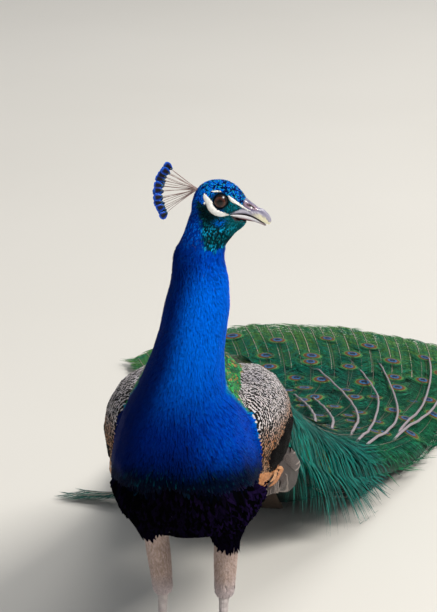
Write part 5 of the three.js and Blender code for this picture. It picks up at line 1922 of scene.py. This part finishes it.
def bare_shaft(bed, plan):
    """A thick bare shaft over the train, along a plan on the floor in body mm."""
    path = along([(x, y, 500.0) for x, y in plan], np.linspace(0, 1, 58))
    for axis in (0, 1):
        path[9:-9, axis] = averaged(path[:, axis], 9)
    path = path[np.round(np.linspace(9, 57, 40)).astype(int)]
    spots = bed.shoot(at(path), (0, 0, -1))
    height = np.where(np.isnan(spots[:, 2]), 6, spots[:, 2] / MM)
    share = np.linspace(0, 1, 40)
    arch = 19 * smooth(0, 0.16, share) + 9 * np.sin(share * math.pi) - 12 * smooth(0.8, 1, share)
    path[:, 2] = averaged(np.pad(height, 8, mode="edge"), 8) - 4 + arch
    return tube(at(path), np.linspace(2.7, 1.4, 40) * MM, 8)


def dress_side_plumes(bed):
    """The pairs of plumes that arch outwards to the floor, and the bare shafts over the train's left."""
    rng = np.random.default_rng(61)
    loose = loose_barbs("side_plume_barbs", shine=0.12, sheen=(1, 1, 1, 1))
    pale = tinted_material("bare_shafts", 0.42, 300, 0.1, 0.85)
    for side, (x, y, heading, curl, long, rise) in SIDE_PLUMES.items():
        start = np.radians(heading + np.array([-3.0, 3.0]))
        bend = math.radians(curl)
        total = long * np.array([0.85, 0.75])

        def place(i, back, across):
            s = np.clip(1 - back / total[i], 0, 1.2)
            turn = start[i] + bend * s
            px = x + total[i] * (np.cos(start[i]) - np.cos(turn)) / bend + across * np.cos(turn)
            py = y + total[i] * (np.sin(turn) - np.sin(start[i])) / bend - across * np.sin(turn)
            pz = 1.2 + rise * (1 - s) ** 2 + 9 * (1 - 0.7 * s) * bell(across / 16.0)
            return stack(px, py, pz), np.broadcast_to(np.array([0, 0, 1.0]), (*px.shape, 3))

        plumes = Plumes(rng, place, total, 4 + rng.random(2) * 4)
        barb_piece(f"side_plume_{side}_barbs", plumes,
                   lambda back, i, noise: between(0x04423C, 0x086A5A, noise), loose,
                   [f"side_plume_{side}"], per_side=70, low=0.0, sweep=(0.55, 0.2, 0.6, 0.35),
                   reach=lambda back, i: np.interp(back, (0, 30, 120, 300), (22, 30, 30, 24)))
        points, faces, _ = plumes.shafts(0.8, end=8)
        train_part(f"side_plume_{side}_shafts", points, faces, pale, tint=colour(0xA99C92))
    points, faces = join([bare_shaft(bed, plan) for plan in BARE_SHAFTS])
    train_part("bare_shafts", points, faces, pale, tint=colour(0x8F858B))


# ---- Tail -----------------------------------------------------------------------------------

TAIL = {"from_y": 236, "to_y": 590, "from_half": 34, "to_half": 88}
TAIL_FEATHERS = 14


def make_tail():
    """The stiff brown feathers that carry the train, in a flat fan beneath it; their dark brown is partly
    their own colour, partly painted shade.
    """
    rng = np.random.default_rng(67)
    brown = feather_material("tail_feathers", 0.6, 60, 0.1, 0.7)
    places, pattern = QUILL_LEAF
    across, v = places.T
    spreads = (np.arange(TAIL_FEATHERS) + 0.5) / TAIL_FEATHERS * 2 - 1
    pieces = []
    for spread in spreads:
        y = TAIL["from_y"] + (TAIL["to_y"] - TAIL["from_y"] - 8 * spread ** 2) * v
        half = TAIL["from_half"] + (TAIL["to_half"] - TAIL["from_half"]) * v
        under = np.interp(y, TRAIN[:, 0], TRAIN[:, 5])
        z = np.maximum(under - 9, 3.5) + 2.2 * (1 - abs(spread)) - 1.2 * across ** 2
        pieces.append((at(stack(spread * 0.86 * half + across * 13, y, z)), pattern))
    points, faces = join(pieces)
    vane = np.tile(stack(0.5 + across / 2, v), (TAIL_FEATHERS, 1))
    noise = np.repeat(rng.random(TAIL_FEATHERS), len(places))
    # dark brown: partly the feathers' own colour, partly painted shade beneath the wing and train
    part("tail_feathers", points, faces, brown, "plumage_brown", ["tail"],
         tint=between(0x33271D, 0x4E3D2E, noise), vane=vane,
         home=patches(stack(0.5 + 0.3 * spreads, 0.06), vane))


# ---- Studio ---------------------------------------------------------------------------------

def make_studio():
    """A floor, a dim sky and three square lamps."""
    corners = [(-30, -30, 0), (30, -30, 0), (30, 30, 0), (-30, 30, 0)]
    floor_mesh = mesh_from("studio_floor", corners, [np.array([[0, 1, 2, 3]])])
    new_object("studio_floor", floor_mesh, floor_material())
    world = bpy.data.worlds.new("studio")
    bpy.context.scene.world = world
    world.use_nodes = True
    sky = world.node_tree.nodes["Background"]
    sky.inputs["Color"].default_value = (0.92, 0.95, 1.0, 1)
    sky.inputs["Strength"].default_value = 0.33
    # name, place in body mm, size in metres, power in watts, colour
    for name, place, size, power, tone in (
            ("key", (3300, -2000, 5000), 1.8, 430, (1.0, 0.97, 0.92)),
            ("fill", (-3800, -3400, 3000), 4.0, 26, (0.9, 0.95, 1.0)),
            ("back", (1800, 4600, 4600), 3.2, 190, (1.0, 0.98, 0.95))):
        lamp = bpy.data.lights.new(name, "AREA")
        lamp.energy = power
        lamp.size = size
        lamp.color = tone
        holder = new_object(name, lamp)
        holder.location = at(place)
        aim = Vector(at(0, 100, 350)) - holder.location
        holder.rotation_euler = aim.to_track_quat("-Z", "Y").to_euler()
    bpy.context.scene.view_settings.view_transform = "Standard"


def make_camera():
    """The photo's view: from above, in front and a little to the bird's left."""
    lens = bpy.data.cameras.new("camera")
    lens.lens = 120
    lens.sensor_width = 36
    lens.clip_end = 100
    camera = new_object("camera", lens)
    camera.location = at(344, -2482, 1491)
    camera.rotation_euler = (math.radians(70), 0, math.radians(7))
    bpy.context.scene.camera = camera


# ---- The bird -------------------------------------------------------------------------------

def build():
    """Every piece of the bird, from the skin outwards."""
    mesh = make_skin()
    surface = Surface(mesh)
    flesh_tree, flesh_names = nodes_surface(FLESH)
    flesh_names = np.array(flesh_names)

    def zone_at(points):
        return flesh_names[[flesh_tree.find_nearest(Vector(p))[2] for p in points]]

    skin_colours(mesh, zone_at)
    finish_piece(new_object("skin", mesh, skin_material()), "plumage_blue", FLESH)
    for side in BOTH:
        make_eye(side)
    horn = tinted_material("bill_horn", 0.3, 900, 0.12, 0.8, Coat_Weight=0.2)
    make_upper_bill(horn)
    make_lower_bill(horn)
    make_face(surface.tree)
    dress_body(surface, zone_at)
    dress_wings(surface, zone_at)
    dress_flight_feathers(surface, zone_at)
    dress_thighs(surface, zone_at)
    make_legs()
    make_crest()
    bed = make_train_bed()
    dress_train_root(bed)
    dress_train()
    dress_train_sides()
    dress_side_plumes(bed)
    make_tail()


build()
make_studio()
make_camera()
